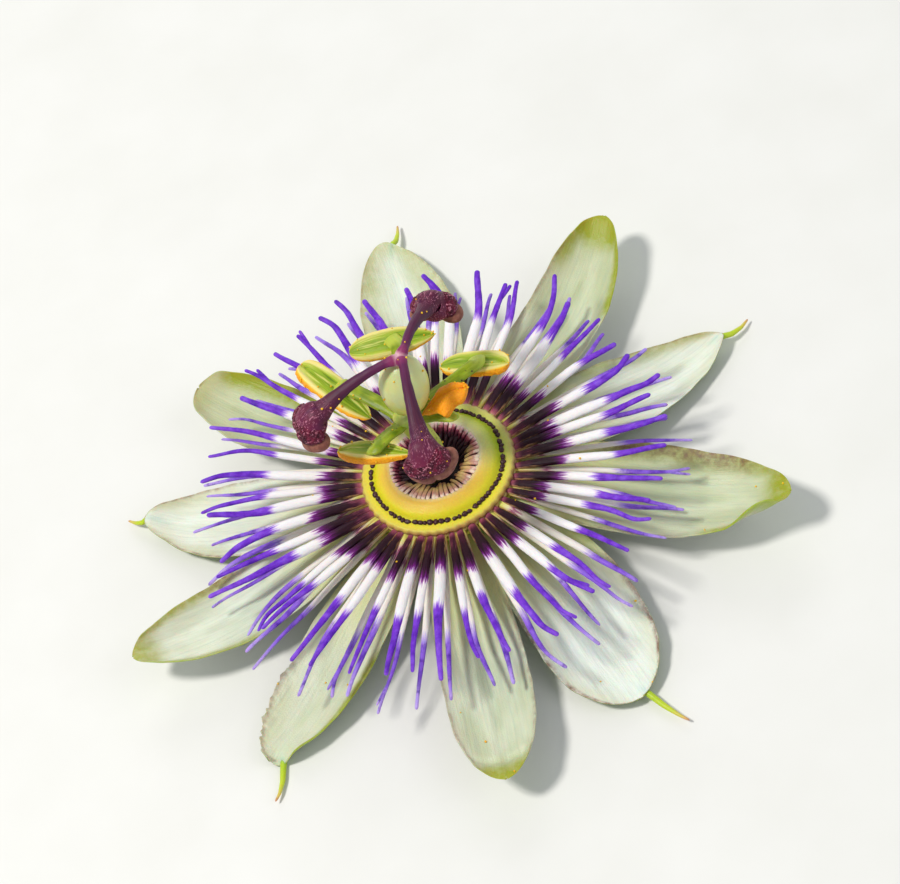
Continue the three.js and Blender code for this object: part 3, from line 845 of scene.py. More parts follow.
# ---- disc, dark inner row and operculum ----
def disc_paint():
    """Rings about the axis with a tan rim, in painted light and shade: brighter and yellower on the lit
    front-left side, greener and duller on the shaded back-right side.
    """
    paint = waxy("disc_tissue", 0.5, 0.25, 0.0012, Specular_IOR_Level=0.35)
    soft, fine = paint.grain(0.55, 3.0), paint.grain(3.5)
    spot = paint.values("radius") + soft.scaled(0.3, 0.7, -0.12, 0.12)
    radii = (5.6, 6.1, 6.7, 7.6, 8.25, 8.6, 9.1, 9.8, 10.25, 10.6)
    lit_front_tones = ((226, 196, 176), (224, 196, 140), (218, 178, 74), (222, 190, 58), (216, 204, 26),
                (206, 196, 16), (220, 208, 48), (222, 206, 62), (206, 192, 78), (180, 136, 84))
    shaded_back_tones = ((224, 206, 198), (216, 208, 178), (200, 200, 136), (188, 200, 100), (168, 186, 36),
              (160, 178, 28), (190, 196, 84), (192, 194, 100), (184, 178, 104), (170, 132, 100))
    front, back = (spot.bands(5.5, 10.7, *zip(radii, tones)) for tones in (lit_front_tones, shaded_back_tones))
    # Painted light and shade: the front-left half takes the lit, yellower tones and the back-right half the
    # shaded, greener ones.
    paint.colour = paint.mix((paint.depth("Y") + paint.depth("X") * 0.7).mask(-0.005, 0.004), front, back)
    paint.cover(fine.scaled(0.4, 0.75, 0.0, 0.35), (236, 230, 160), "SOFT_LIGHT")
    return paint.finish(fine, 0.0001, roughness=soft.scaled(0.3, 0.7, 0.42, 0.58))


disc = Solid("corona_disc")
DISC_RADII = np.linspace(5.85, 10.2, 44)
SAMPLED = [heading(angle)[0] for angle in (0.09, 2.1, 4.3)]  # where round the disc its height is measured
disc_tops = relax(np.array([np.mean([disc.top(*(out * r)[:2]) for out in SAMPLED]) for r in DISC_RADII]), 4)


def build_disc():
    edge, inside = disc_tops[-1], disc_tops[0]
    below = [(10.42, edge - 0.12), (10.58, edge - 0.45), (10.55, edge - 0.75),
             (9.6, edge - 0.8), (8.0, edge - 0.6), (6.2, inside - 0.9)]
    rings = turned([*zip(DISC_RADII, disc_tops), *below], 180)
    radius, azimuth = polar(rings)
    place = np.stack([np.cos(azimuth) * 4, np.sin(azimuth) * 4, radius * 0.5], -1)
    rings[..., 2] += 0.07 * wander(place, 1.6, 3.0)
    rings[..., 2] += 0.1 * bump_at(radius, 5.9, 0.35) * np.cos(azimuth * 52 + 1.5 * np.sin(azimuth * 3))
    rings += unit(rings * LEVEL) * (0.1 * ease(radius, 10.0, 10.5) * np.cos(azimuth * 48))[..., None]
    shape = Shape()
    shape.band(rings, radius=radius)
    shape.piece("corona_disc_skin", disc_paint(), "disc", "corona_disc")


LAST_BEAD = 357  # no bead of the inner row starts beyond this, in degrees


def build_inner_row():
    """Small dark beads in a wavering ring, with a gap here and there."""
    rng = random.Random(11)
    shape = Shape()
    low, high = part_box("corona_inner_row")
    row_radius = (high.x - low.x) / 2 / MM - 0.35
    angle, since_gap = 0.0, 0
    while angle < LAST_BEAD:
        long = rng.uniform(0.46, 0.95)
        step = math.degrees(long / row_radius)
        centre = angle + step / 2
        out, along = heading(math.radians(centre))
        place = out * (row_radius + 0.1 * math.sin(math.radians(centre * 7)) + rng.uniform(-0.07, 0.07))
        bead = uneven(ball(10, 6), 0.3, 0.7, rng.uniform(0, 50))
        bead = bead @ [along * long * 0.56, out * rng.uniform(0.3, 0.44), UP * rng.uniform(0.24, 0.34)]
        shape.loft(bead + place + UP * (disc.top(*place[:2]) + 0.1))
        since_gap += 1
        angle += step
        if since_gap > 1 and rng.random() < 0.4:
            angle += rng.uniform(0.8, 2.2)
            since_gap = 0
    paint = waxy("dark_bead", 0.42, 0.1, 0.0004, Specular_IOR_Level=0.4)
    fine = paint.grain(3.0, 3.0)
    paint.colour = fine.ramp((0.3, (36, 14, 18)), (0.7, (76, 38, 42)))
    shape.piece("corona_inner_row_beads", paint.finish(fine, 0.0001, 0.6), "dark_fringe", "corona_inner_row")


def fringe_paint():
    """Dark teeth with pale tips, which are paler all over on the side that shows, and a dark throat."""
    paint = waxy("fringe_tissue", 0.5, 0.15, 0.0005, Specular_IOR_Level=0.35)
    reach, tooth, around, deep, facing = paint.values("reach", "tooth", "around", "deep", "facing")
    fine = paint.grain(1.6, 3.0)
    ragged = fine.scaled(0.3, 0.7, -0.3, 0.3) + tooth.scaled(0.5, 1.0, -0.25, 0.25)
    spot = (reach + ragged).scaled(3.4, 6.3)
    light = spot.ramp((0.05, (132, 84, 62)), (0.2, (190, 150, 96)), (0.4, (216, 184, 118)),
                      (0.6, (206, 160, 120)), (0.74, (196, 140, 128)), (0.9, (236, 210, 190)),
                      (1.0, (232, 206, 180)))
    dark = spot.ramp((0.2, (26, 6, 14)), (0.5, (58, 12, 34)), (0.64, (120, 28, 62)), (0.76, (176, 96, 112)),
                     (0.86, (222, 186, 186)), (1.0, (230, 208, 196)))
    throat = spot.ramp((0.0, (22, 6, 14)), (0.45, (44, 10, 28)), (0.62, (110, 24, 58)),
                       (0.8, (190, 130, 140)), (1.0, (220, 190, 180)))
    paint.colour = paint.mix(facing, dark, light)
    paint.cover(abs(around).mask(0.7, 0.98) * 0.75, (104, 26, 54))
    paint.colour = paint.mix(tooth.mask(0.2, 0.4), throat, paint.colour)
    paint.cover(deep * 0.85, (44, 10, 26))
    return paint.finish(fine, 0.00012)


TEETH = 56
# The fringe's rows of teeth: how many, the radius of their roots, the least and the greatest radius of their
# points, and how far their roots are lowered.
TOOTH_ROWS = ((TEETH, 6.25, 4.3, 5.2, 0.1), (38, 5.2, 2.7, 3.7, 0.85))
COLUMN_LEAN = np.array([-1.3, 0.5, 0.0])  # how far the column's foot stands from the plain solid's
FRONT = unit([0.1, -1.0, 0.0])  # the side whose teeth reach farthest in


def build_operculum():
    """A dark pleated funnel, fringed with two rows of flat pointed teeth that lean in over it."""
    rng = random.Random(23)
    rim, foot = disc_tops[0], Solid("operculum").low[2]
    funnel = between([(5.75, rim - 0.1), (5.1, rim - 0.5), (4.3, foot + 0.7), (3.3, foot + 0.1), (1.5, foot),
                      (1.5, foot - 0.2), (3.2, foot - 0.2), (5.0, rim - 1.4)], 36)
    rings = turned(funnel, 224)
    radius, azimuth = polar(rings)
    rings[..., 2] += 0.12 * np.cos(azimuth * TEETH) * ease(radius, 2.6, 3.4)
    rings += COLUMN_LEAN * ease(radius, 3.8, 1.6)[..., None]
    shape = Shape()
    shape.band(rings, reach=radius, tooth=0, around=0, deep=0, facing=0)
    t = np.linspace(0, 1, 16)
    for row, (count, root, low, high, drop) in enumerate(TOOTH_ROWS):
        for i in range(count):
            out, along = heading(FULL_TURN * (i + 0.5 + 0.22 * rng.uniform(-1, 1)) / count)
            near = float(ease(out @ FRONT, -0.15, 0.5)) * (row == 0)
            r = root + (rng.uniform(low, high) - 1.1 * near - root) * t
            droop = (0.35 + 0.4 * rng.random()) * (1 - 0.55 * near)
            z = rim + 0.16 - drop + 0.12 * np.sin(t * math.pi) - droop * (root - r) * t ** 0.8
            path = np.outer(r, out) + np.outer(rng.uniform(-0.3, 0.3) * t ** 2, along) + np.outer(z, UP)
            size = rng.uniform(0.28, 0.36) * (1 - (0.6 - 0.35 * near) * t ** 1.3) * rounded(t, 2.2, 0.2)
            shape.rod(path, size, size * 0.62, 8, reach=r[:, None], tooth=0.5 + 0.5 * rng.random(), deep=row,
                      facing=near)
    shape.piece("operculum_fringe", fringe_paint(), "dark_fringe", "operculum")


build_disc()
build_inner_row()
build_operculum()


# ---- column and ovary ----
def build_column():
    """Returns the middle of the column's top."""
    path, wide = Solid("column").spine(np.zeros(3), 10)
    path, share = resample(path, 60)
    top = path[-1]
    size = np.interp(share, np.linspace(0, 1, len(wide)), relax(wide, 3)) * rounded(share, 18, 0.8)
    size = size * (1 + 0.16 * ease(share, 0.86, 0.97)) * (1 - 0.22 * ease(share, 0.5, 0.1))
    path = path + np.outer(ease(share, 0.62, 0.0), COLUMN_LEAN)
    rings, turn = tube(path, size, size, 40, level=[0, 1, 0])
    ribs = 1 + 0.045 * np.cos(5 * turn) * ease(share, 0.3, 0.9)[:, None]
    shape = Shape()
    shape.loft(carved(rings, path, ribs, 0.05, 1.4, 2.0), share=share[:, None])
    paint = waxy("column_tissue", 0.42, 0.3, 0.0015)
    soft = paint.grain(0.45, 3.0)
    paint.colour = paint.mottled(soft, (196, 202, 98), (150, 176, 66))
    paint.cover(paint.cells(1.5).mask(0.2, 0.09), (120, 84, 50))
    # Painted shade: the column is painted darker towards its foot, down in the throat where shade falls.
    paint.cover(paint.values("share").mask(0.42, 0.22), (84, 74, 34))
    shape.piece("column_skin", paint.finish(soft, 0.0002), "ovary", "column")
    return top


def build_ovary():
    solid = Solid("ovary")
    axes, half = solid.axes()
    lengthwise = axes[0] * np.sign(axes[0][2])
    side = unit(np.cross(lengthwise, [0, 1, 0]))
    dome = ball(64, 44)
    level, turn = dome[..., 2], polar(dome)[1]
    girth = half[1] * (1 + 0.05 * level - 0.1 * level ** 3) * (1 - 0.25 * ease(level, -0.8, -1.0))
    girth *= 1 + 0.022 * np.cos(3 * turn) * (1 - level ** 2)
    dome = dome * np.stack([girth, girth, np.full_like(girth, half[0])], -1)
    shape = Shape()
    shape.loft(solid.middle + dome @ [side, np.cross(lengthwise, side), lengthwise], level=level)
    gloss = dict(Specular_IOR_Level=0.55, Coat_Weight=0.15, Coat_Roughness=0.3)
    paint = waxy("ovary_tissue", 0.3, 0.4, 0.002, **gloss)
    paint.colour = paint.values("level").bands(-1.0, 1.0, (-1.0, (150, 168, 48)), (-0.7, (192, 198, 84)),
                                               (0.0, (216, 216, 130)), (1.0, (206, 214, 152)))
    paint.cover(paint.grain(0.3, 3.0).scaled(0.45, 0.65, 0.0, 0.55), (188, 206, 156))
    shape.piece("ovary_skin", paint.finish(paint.grain(2.4), 0.00006), "ovary", "ovary")


column_top = build_column()
build_ovary()


# ---- stamens ----
def strap_paint():
    """Green with pale and dark streaks, a pale far end, and dark specks in clusters."""
    paint = waxy("stamen_strap", 0.42, 0.2, 0.0008, Specular_IOR_Level=0.35)
    share, around = paint.values("share", "around")
    line = paint.streaks(share * 0.35, around * 2.2)
    paint.colour = paint.mottled(paint.grain(0.5, 3.0), (112, 136, 8), (146, 164, 24))
    paint.cover(line.scaled(0.5, 0.75, 0.0, 0.4), (186, 198, 80))
    paint.cover(line.scaled(0.48, 0.3, 0.0, 0.5), (84, 110, 8))
    paint.cover(share.mask(7.6, 9.0) * 0.75, (190, 204, 76))
    paint.cover(paint.cells(1.3).mask(0.26, 0.13) * paint.grain(0.6, 1.0).mask(0.45, 0.58), (62, 18, 36))
    return paint.finish(line, 0.0002, 0.4)


def anther_paint():
    """By edge: 0 is the middle of the green back, 1 the rim and 2 the middle of the pollen side."""
    paint = waxy("anther_tissue", 0.5, 0.2, 0.0008, Specular_IOR_Level=0.35)
    edge, share, around, seed = paint.values("edge", "share", "around", "seed")
    fine = paint.grain(4.2)
    furrow = paint.streaks(share * 0.16, around * 4.5, seed, 3.0, 0.55)
    spot = edge + furrow.scaled(0.3, 0.7, -0.06, 0.06)
    paint.colour = spot.bands(0.0, 2.0, (0.0, (126, 156, 14)), (0.26, (152, 176, 30)), (0.44, (184, 192, 66)),
                              (0.6, (226, 216, 132)), (0.84, (238, 218, 130)), (0.94, (244, 198, 62)),
                              (1.06, (252, 174, 8)), (1.44, (252, 166, 2)), (2.0, (250, 160, 0)))
    back, pollen = edge.mask(0.56, 0.36), edge.mask(1.02, 1.1)
    paint.cover(furrow.mask(0.44, 0.3) * back, (90, 128, 12))
    paint.cover(furrow.mask(0.54, 0.68) * back, (206, 208, 104))
    paint.cover(pollen * fine.scaled(0.4, 0.7, 0.0, 0.45), (242, 134, 0))
    # Painted shade: a darker orange line along the fold of the pollen side, where the crease lies in shade.
    paint.cover(edge.mask(1.9, 2.2) * abs(around + 0.12).mask(0.07, 0.01), (206, 104, 0))
    return paint.finish(furrow * 0.7 + fine * pollen, 0.0003, 0.7)


# Each anther's own shape, clockwise end first: the two powers of each end's outline (low and high is pointed,
# high and low is square), the share of its half width on either side, inner first, its arch, how ragged its
# pollen rim is, which end is torn (-1 is the clockwise one), how much wider its inner and outer pale rims
# are, and how far its stamen's strap reaches past its middle.
ANTHERS = {
    1: dict(ends=((1.8, 0.7), (3.4, 0.55)), halves=(0.95, 0.95), arch=0.35, ragged=0.1, torn=0,
            rims=(0.0, 0.12), overlap=0.5),
    2: dict(ends=((5.0, 0.5), (2.6, 0.55)), halves=(0.95, 0.95), arch=0.2, ragged=0.24, torn=-1,
            rims=(0.12, 0.12), overlap=0.5),
    3: dict(ends=((1.0, 1.25), (2.2, 0.6)), halves=(0.8, 1.15), arch=-0.3, ragged=0.3, torn=1,
            rims=(1.3, 1.3), overlap=0.0),
    4: dict(ends=((2.6, 0.6), (1.5, 0.75)), halves=(0.62, 1.05), arch=0.5, ragged=0.16, torn=-1,
            rims=(0.1, 0.28), overlap=0.3),
    5: dict(ends=((5.5, 0.45), (2.2, 0.65)), halves=(0.9, 1.0), arch=0.3, ragged=0.36, torn=-1,
            rims=(0.12, 0.06), overlap=-0.3),
}
POLLEN_FOLD = 0.5  # how deep the fold along an anther's pollen side is, as a share of its thickness
FLAME = 3  # the anther that is turned over, so that its pollen side shows and looks like a flame
FLAME_SHIFT = np.array([-0.9, -0.1, -0.1])  # how far it hangs in from the plain solid


def build_strap(i, material, anther_middle, anther_rise, anther_half):
    """A stamen's filament, from the column's top to its anther's back."""
    path, _ = Solid(f"stamen_filament_{i}").spine(column_top, 8)
    into = unit((column_top - path[0]) * LEVEL)
    touch = anther_middle + anther_rise * (0.75 * anther_half[2] + 0.18) - into * ANTHERS[i]["overlap"]
    if i == FLAME:
        touch = path[-1] + (anther_middle - path[-1]) * 0.25 - UP * 0.5
    path, share = resample(np.array([path[0] + into * 1.3 - UP * 0.35, *path[:-1], touch]), 52, 1.1)
    width = np.interp(share, (0, 0.2, 0.6, 0.85, 1), (1.05, 1.0, 1.0, 1.12, 1.18)) * rounded(share, 11, 0.25)
    depth = np.interp(share, (0, 0.5, 0.9, 1), (0.62, 0.48, 0.45, 0.48)) * rounded(share, 11, 0.2)
    rings, turn = tube(path, width, depth, 24)
    rings = carved(rings, path, 1 - 0.1 * bump_at(np.sin(turn), 1, 0.35), 0.04, 1.2, i)
    shape = Shape()
    shape.loft(rings, share=share[:, None] * 10, around=np.cos(turn))
    shape.piece(f"stamen_filament_{i}_strap", material, "stamen", f"stamen_filament_{i}")


def anther_outline(x, ends):
    """How wide an anther is along it, from -1 to 1, as a share."""
    outline = np.ones_like(x)
    for end, (power, root) in zip((x < 0, x >= 0), ends):
        outline[end] = np.clip(1 - np.abs(x[end]) ** power, 0.0012, 1) ** root
    return outline


def anther_section(over, y):
    """How high its section is: lobed and grooved above, where over is more than 0, and folded below."""
    beside = np.abs(y)
    groove = -0.3 * bump_at(y, 0, 0.15) - 0.12 * bump_at(beside, 0.5, 0.1) + 0.22 * bump_at(beside, 0.82, 0.2)
    fold = POLLEN_FOLD * bump_at(y, -0.12, 0.13) - 0.12 * bump_at(beside, 0.5, 0.25)
    return np.where(over > 0, 0.75 * np.abs(over) ** 0.55 + groove, -0.95 * np.abs(over) ** 0.6 + fold)


def build_anther(i, material, middle, axes, half):
    """A long sac with a furrowed back, a groove between its halves and a ragged rim of pollen."""
    habit = ANTHERS[i]
    lengthwise, side, rise = axes
    outward = unit((middle - column_top) * LEVEL)
    lengthwise = lengthwise * np.sign(lengthwise @ np.cross(UP, outward))
    side = side * np.sign(side @ outward)
    if i == FLAME:
        rise = -rise
        middle = middle + FLAME_SHIFT
    x = np.sin(np.linspace(-1, 1, 72) * math.pi / 2)[:, None]
    turn = np.linspace(0, FULL_TURN, 60, endpoint=False)
    over = np.sin(turn)
    y = np.sign(np.cos(turn)) * np.abs(np.cos(turn)) ** 0.7
    z = anther_section(over, y)
    outline = anther_outline(x, habit["ends"])
    lopsided = y * np.where(y > 0, *habit["halves"][::-1])
    lobed = 1 + 0.16 * np.cos(x * 8.5 - 0.2) * ease(y, 0.2, 1.0) * (i == FLAME)
    forked = 1 - 0.22 * ease(x * habit["torn"], 0.5, 1.0) * bump_at(y, 0.05, 0.28)
    arch = habit["arch"] * (0.5 - x ** 2)
    body = np.stack([x * forked, outline * lopsided * lobed, outline ** 0.75 * z + arch], -1) * half
    points = middle + body @ [lengthwise, side, rise]
    edge = np.arccos(over) / (math.pi / 2)
    lumps = wander(points, 0.6, 30 + i)
    torn_end = ease(x * habit["torn"], 0.2, 0.9)
    swollen = ease(edge, 0.85, 1.1) * ease(edge, 1.6, 1.15)
    swollen = swollen * (0.08 + habit["ragged"] * lumps * (0.4 + 0.6 * torn_end)) + 0.03 * lumps
    centre = middle + lengthwise * (x * half[0])[..., None]
    points = points + unit(points - centre) * swollen[..., None]
    rims = np.where(y > 0, *habit["rims"][::-1]) * ease(np.abs(y), 0.1, 0.9)
    shape = Shape()
    shape.loft(points, edge=edge + rims + 0.25 * torn_end, share=x * half[0], around=y, seed=i * 9)
    shape.piece(f"anther_{i}_sac", material, "anther", f"anther_{i}")


strap_tissue, anther_tissue = strap_paint(), anther_paint()
for i in ANTHERS:
    solid = Solid(f"anther_{i}")
    axes, half = solid.axes()
    build_strap(i, strap_tissue, solid.middle, axes[2], half)
    build_anther(i, anther_tissue, solid.middle, axes, half)


# ---- styles and stigmas ----
def style_paint():
    """Pale at the joint and dark purple beyond, with fine streaks, and flecks near the stigma."""
    paint = waxy("style_tissue", 0.48, 0.08, 0.0006, Specular_IOR_Level=0.28)
    share, around, seed = paint.values("share", "around", "seed")
    streak = paint.streaks(share * 2.2, around * 2.4, seed, 4.0, 0.6)
    speck = paint.streaks(share * 52.0, around * 12.0, seed, 2.0, 0.6)
    paint.colour = share.ramp((0.0, (238, 204, 206)), (0.05, (230, 180, 192)), (0.078, (150, 52, 104)),
                              (0.15, (98, 28, 78)), (0.36, (78, 27, 62)), (0.6, (74, 24, 50)),
                              (0.84, (86, 22, 52)), (1.0, (120, 32, 68)))
    paint.cover(streak.scaled(0.45, 0.75, 0.0, 0.5), (100, 50, 70))
    paint.cover(streak.scaled(0.5, 0.25, 0.0, 0.5), (54, 24, 80))
    flecks = share.mask(0.6, 0.88) * speck.mask(0.54, 0.62) * paint.grain(0.9).scaled(0.38, 0.58)
    paint.cover(flecks, (198, 124, 148))
    return paint.finish(streak + flecks * 0.6, 0.00018)


def stigma_paint():
    """Dark grainy lobes with pale specks in clusters, and smooth brown pads where cap is 1."""
    paint = waxy("stigma_tissue", 0.5, 0.08, 0.0005, Specular_IOR_Level=0.25)
    cap, soft = paint.values("cap"), paint.grain(1.1, 3.0)
    specks = paint.grain(3.2, 3.0, 0.65).mask(0.53, 0.62) * paint.grain(1.0).scaled(0.36, 0.56)
    paint.colour = paint.mottled(soft, (66, 8, 32), (114, 26, 56))
    paint.cover(specks, (208, 132, 152))
    paint.cover(cap.mask(0.4, 0.6), paint.mottled(soft, (120, 70, 60), (148, 96, 80)))
    return paint.finish((1.0 - cap) * (1.0 - paint.cells(3.3)), 0.0003, 0.9)


HEAD_ROLLS = {1: 0, 2: 0, 3: 14}  # how each stigma is turned about its style, in degrees
LOBE_SPREAD = 40  # how far each of its two lobes leans aside, in degrees
STYLE_SHARES = (0, 0.06, 0.13, 0.35, 0.6, 0.76, 0.86, 0.94, 1)
STYLE_WIDTHS = (0.82, 0.78, 0.56, 0.64, 0.86, 1.2, 1.75, 2.25, 2.3)


def build_style(i, material, knob, root):
    """A style from the ovary's top to its stigma. Returns its direction there."""
    path, _ = Solid(f"style_{i}").spine(apex, 12)
    away = unit(path[-1] - path[-4])
    deep = np.ptp((knob.points - knob.middle) @ away) / 2
    path = [root, (root + path[0]) / 2, *path, knob.middle - away * deep * 0.35]
    path, share = resample(np.array(path), 90)
    size = np.interp(share, STYLE_SHARES, STYLE_WIDTHS)
    rings, turn = tube(path, size * 1.04, size * 0.92, 30)
    groove = 0.1 * bump_at(np.sin(turn), 1, 0.12) * ease(share, 0.3, 0.9)[:, None]
    rings = carved(rings, path, 1 + 0.05 * np.cos(3 * turn + 0.6) - groove, 0.05, 1.1, 60 + i)
    shape = Shape()
    shape.loft(rings, share=share[:, None], around=np.cos(turn), seed=i * 5)
    shape.piece(f"style_{i}_stem", material, "style", f"style_{i}")
    return away


def warty(points, centre, seed):
    bumps = 0.13 * wander(points, 0.45, seed) + 0.1 * wander(points, 0.22, seed + 10)
    return points + unit(points - centre) * bumps[..., None]


def build_stigma(i, material, knob, away):
    """Two wide, grainy lobes side by side, each on a smooth pad that shows below it."""
    level = unit(np.cross(UP, away))
    roll = math.radians(HEAD_ROLLS[i])
    across = level * math.cos(roll) + np.cross(away, level) * math.sin(roll)
    over = np.cross(away, across)
    middle = knob.middle
    wide, thick, deep = np.ptp((knob.points - middle) @ np.stack([across, over, away], -1), axis=0) / 2
    shape = Shape()
    core = middle + ball(60, 40) @ [across * 0.55 * wide, over * 0.84 * thick, away * 0.66 * deep]
    shape.loft(warty(core, middle, 85 + i), cap=0)
    for side in (-1, 1):
        bend = math.radians(LOBE_SPREAD) * side
        out = across * math.sin(bend) + away * math.cos(bend)
        beside = np.cross(over, out)
        hub = middle + across * side * 0.46 * wide - away * 0.12 * deep
        lobe = uneven(ball(72, 48), 0.1, 0.9, 40 + i * 2 + side)
        lobe = hub + lobe @ [beside * 0.66 * wide, out * 0.74 * deep, over * 0.86 * thick]
        shape.loft(warty(lobe, hub, 80 + i), cap=0)
        pad = uneven(ball(56, 36), 0.07, 1.0, 70 + i * 3 + side)
        pad = pad @ [beside * 0.78 * wide, out * 0.72 * deep, over * 0.6 * thick]
        shape.loft(hub + out * 0.22 * deep - over * 0.68 * thick + pad, cap=1)
    shape.piece(f"stigma_{i}_head", material, "stigma", f"stigma_{i}")


ovary_points = Solid("ovary").points
apex = ovary_points[ovary_points[:, 2].argmax()]
style_tissue, stigma_tissue = style_paint(), stigma_paint()
for i in HEAD_ROLLS:
    knob = Solid(f"stigma_{i}")
    away = build_style(i, style_tissue, knob, apex + UP * 0.25)
    build_stigma(i, stigma_tissue, knob, away)


# ---- bracts, cup and stalk ----
def bract_paint():
    """Green, with a pale midrib, slanting pale veins and a fine net between them."""
    paint = waxy("bract_tissue", 0.5, 0.3, 0.0012)
    along, across = paint.values("along", "across")
    wave_height = paint.math("SINE", (along - abs(across) * 0.9) * 1.25)
    line = paint.math("MAXIMUM", abs(across).mask(0.35, 0.12), abs(wave_height).mask(0.14, 0.02) * 0.55)
    paint.colour = paint.mottled(paint.grain(0.4, 3.0), (128, 156, 70), (156, 176, 92))
    paint.cover(line, (190, 202, 132))
    return paint.finish(paint.cells(1.4) * 0.3 - line, 0.00025, 0.6)


BRACT_LOWEST = 0.5  # a bract's upper face stays this far above the ground


def bract_form(seed):
    def form(u, v, points):
        points[..., 2] += 0.25 * ease(u, 0.3, 0.8) * v ** 2 * wave(u * 6, v, seed)
        points[..., 2] += 0.12 * (1 - bump_at(v, 0, 0.06)) * ease(u, 0.0, 0.2) - 0.1
        points[..., 2] = np.maximum(points[..., 2], BRACT_LOWEST)
        return {}

    return form


bract_tissue = bract_paint()
for i in (1, 2, 3):
    shape = Shape()
    leaf(shape, Blade(f"bract_{i}", 1.8), bract_form(i), 0.35, 60, 33)
    shape.piece(f"bract_{i}_leaf", bract_tissue, "bract", f"bract_{i}")


def outside(solid, count):
    """(radius, height) pairs down a turned piece's outside."""
    out, _ = heading(0.1)
    heights = np.linspace(solid.high[2] - 0.02, solid.low[2] + 0.02, count)
    return [(math.hypot(*solid.hit(out * 40 + UP * z, -out)[:2]), z) for z in heights]


def ribbed(profile, segments, ribs, start, stop, turn=0.0):
    """Rings with five low ribs that grow from one radius to another, and each point's radius and azimuth."""
    rings = turned(profile, segments)
    radius, azimuth = polar(rings)
    rings *= 1 + (ribs * np.cos(azimuth * 5 + turn) * ease(radius, start, stop))[..., None] * LEVEL
    return rings, radius, azimuth


def build_cup():
    cup = Solid("floral_cup")
    outer, high = outside(cup, 26), cup.high[2]
    rim = outer[0][0]
    inner = [(7.2, high - 2.2), (rim - 1.2, high - 0.7), (rim - 1.0, high - 0.1)]
    rings, radius, azimuth = ribbed(relax(np.array(inner + outer), 2), 120, 0.018, 3, 8)
    shape = Shape()
    shape.loft(rings, radius=radius, around=azimuth)
    paint = waxy("cup_tissue", 0.48, 0.3, 0.0015)
    radius, around = paint.values("radius", "around")
    ribs = paint.streaks(around * 7.0, radius * 0.2, detail=3.0)
    paint.colour = paint.mix(paint.grain(0.5, 3.0).mask(0.3, 0.7), (138, 160, 72), (168, 184, 104))
    paint.cover(ribs.scaled(0.4, 0.7, 0.0, 0.5), (186, 196, 128))
    shape.piece("floral_cup_skin", paint.finish(ribs, 0.0004, 0.6), "cup", "floral_cup")


def build_stalk():
    """The stalk's stub, with pale pith where it is cut."""
    stalk = Solid("stalk")
    outer, low, high = outside(stalk, 18), stalk.low[2], stalk.high[2]
    foot = outer[-1][0]
    cut_end = [(foot * 0.93, low), (foot * 0.7, low + 0.05), (foot * 0.35, low + 0.08)]
    rings, radius, azimuth = ribbed([(0.4, high), (1.2, high), *outer, *cut_end], 60, 0.05, 0.9, 1.4, 0.4)
    cut = np.arange(len(rings)) >= len(rings) - len(cut_end)
    shape = Shape()
    shape.loft(rings, radius=radius, around=azimuth, cut=cut[:, None])
    paint = waxy("stalk_tissue", 0.5, 0.25, 0.001)
    radius, around, cut = paint.values("radius", "around", "cut")
    soft = paint.streaks(around * 4.0, radius, detail=3.0)
    paint.colour = paint.mottled(soft, (112, 140, 52), (148, 166, 84))
    pith = radius.bands(0.0, 1.6, (0.0, (226, 226, 190)), (0.88, (206, 212, 150)), (1.2, (132, 158, 76)),
                        (1.6, (104, 132, 50)))
    paint.cover(cut.mask(0.3, 0.7), pith)
    shape.piece("stalk_stub", paint.finish(soft, 0.0003, 0.6), "stalk", "stalk")


build_cup()
build_stalk()


# ---- loose pollen ----
def dust(shape, rng, piece, count, size=(0.09, 0.17), least_up=0.1, near=0, far=99):
    """Pollen grains on a piece's faces that look up, between two distances from the axis."""
    faces = [f for f in bpy.data.objects[piece].data.polygons if f.normal.z > least_up]
    placed = 0
    while placed < count:
        face = rng.choice(faces)
        spot = np.array(face.center) / MM - AXIS
        if near < math.hypot(*spot[:2]) < far:
            radius = rng.uniform(*size)
            sizes = np.array([rng.uniform(0.8, 1.2) for _ in range(3)])
            shape.loft(spot + np.array(face.normal) * radius * 0.55 + ball(7, 4) * radius * sizes)
            placed += 1


def build_pollen():
    rng = random.Random(31)
    shape = Shape()
    for i in ANTHERS:
        dust(shape, rng, f"anther_{i}_sac", 12)
        dust(shape, rng, f"stamen_filament_{i}_strap", 3)
    for i in HEAD_ROLLS:
        dust(shape, rng, f"style_{i}_stem", 4)
        dust(shape, rng, f"stigma_{i}_head", 7)
    dust(shape, rng, "ovary_skin", 6)
    dust(shape, rng, "column_skin", 3, least_up=-0.4)
    dust(shape, rng, "corona_upper_row_threads", 16, near=11, far=20)
    for name in ("sepal_3", "sepal_4", "petal_3", "petal_2"):
        dust(shape, rng, name + "_skin", 3, (0.1, 0.16), 0.6, near=30)
    paint = waxy("pollen", 0.6, 0.2, 0.0003)
    tone = paint.grain(1.2)
    paint.colour = tone.ramp((0.3, (240, 176, 6)), (0.7, (250, 206, 24)))
    shape.piece("pollen_grains", paint.finish(tone, 0.00005), "anther")


build_pollen()

# ---- floor, light and camera ----
FLOOR_HALF, FLOOR_HEIGHT = 2.0, -2e-5  # in metres
TARGET = Vector((AXIS + UP * 11) * MM)
AIM_RIGHT, AIM_UP = 1.667, 3.333  # how far from the target the camera's middle looks, in millimetres
VIEW_ELEVATION, VIEW_ROLL = math.radians(52.5), math.radians(25)
VIEW_DISTANCE, LENS = 0.38, 114.0  # in metres and in millimetres


def put(name, data):
    made = bpy.data.objects.new(name, data)
    bpy.context.scene.collection.objects.link(made)
    return made


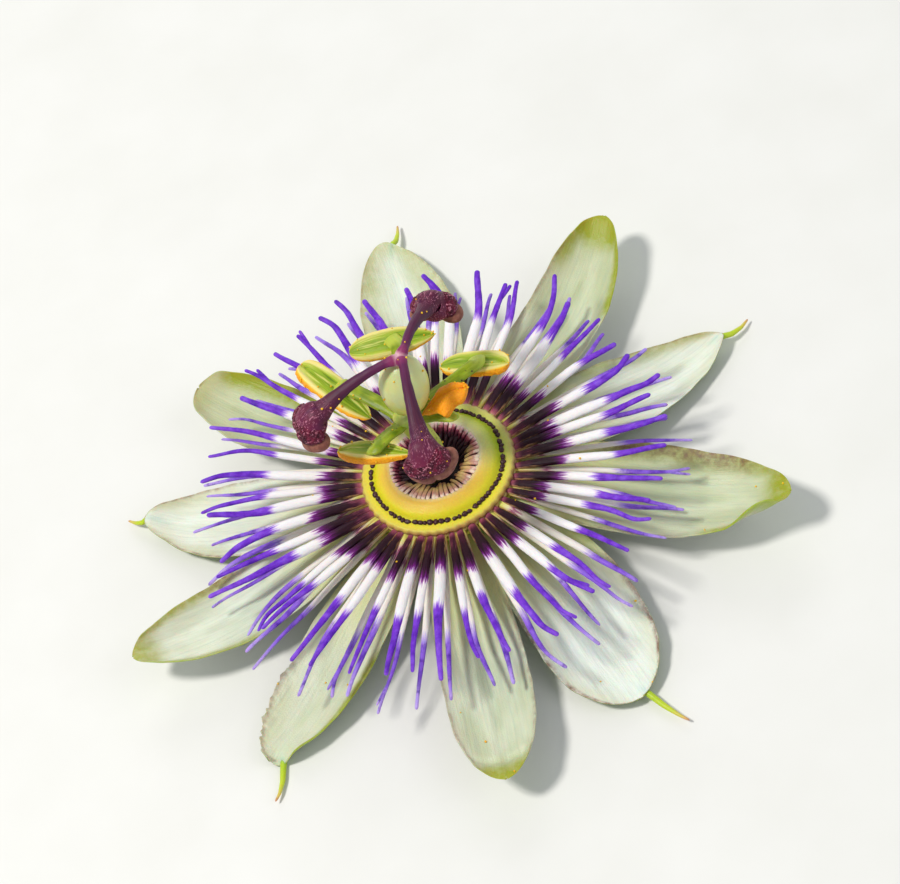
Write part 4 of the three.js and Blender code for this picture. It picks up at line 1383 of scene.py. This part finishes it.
def build_floor():
    mesh = bpy.data.meshes.new("floor")
    signs = ((-1, -1), (1, -1), (1, 1), (-1, 1))
    corners = [(x * FLOOR_HALF, y * FLOOR_HALF, FLOOR_HEIGHT) for x, y in signs]
    mesh.from_pydata(corners, [], [(0, 1, 2, 3)])
    paint = Paint("floor_paper", Roughness=0.85)
    paint.colour = paint.grain(0.06, 3.0).ramp((0.3, (226, 226, 222)), (0.7, (230, 230, 227)))
    mesh.materials.append(paint.finish())
    put("floor", mesh)


def lamp(name, direction, distance, size, power, colour):
    light = bpy.data.lights.new(name, "AREA")
    light.shape = "DISK"
    light.size = size
    light.energy = power
    light.color = colour
    made = put(name, light)
    towards = Vector(direction).normalized()
    made.location = TARGET + towards * distance
    made.rotation_mode = "QUATERNION"
    made.rotation_quaternion = towards.to_track_quat("Z", "Y")


def build_camera():
    back = Vector((0, -math.cos(VIEW_ELEVATION), math.sin(VIEW_ELEVATION)))
    rise = Vector((0, math.sin(VIEW_ELEVATION), math.cos(VIEW_ELEVATION)))
    right = Vector((math.cos(VIEW_ROLL), 0, 0)) - rise * math.sin(VIEW_ROLL)
    up = Vector((math.sin(VIEW_ROLL), 0, 0)) + rise * math.cos(VIEW_ROLL)
    data = bpy.data.cameras.new("camera")
    data.lens = LENS
    data.clip_start, data.clip_end = 0.01, 20
    camera = put("camera", data)
    camera.location = TARGET + back * VIEW_DISTANCE
    aim = TARGET + (right * AIM_RIGHT + up * AIM_UP) * MM
    forward = (aim - camera.location).normalized()
    right = (right - forward * right.dot(forward)).normalized()
    turned_to = Matrix((right, right.cross(forward), -forward)).transposed().to_4x4()
    camera.matrix_world = Matrix.Translation(camera.location) @ turned_to
    bpy.context.scene.camera = camera


room = bpy.data.worlds.new("room")
room.use_nodes = True
room.node_tree.nodes["Background"].inputs["Color"].default_value = (0.93, 0.97, 1.0, 1)
room.node_tree.nodes["Background"].inputs["Strength"].default_value = 0.44
bpy.context.scene.world = room
bpy.context.scene.view_settings.view_transform = "Standard"
build_floor()
lamp("key_light", (-0.45, 0.02, 0.88), 0.9, 0.17, 6.1, (1.0, 0.97, 0.92))
lamp("fill_light", (0.8, -0.5, 0.7), 1.0, 0.7, 1.6, (0.94, 0.97, 1.0))
lamp("rim_light", (0.2, 0.9, 0.55), 1.0, 0.5, 1.4, (1.0, 1.0, 1.0))
build_camera()
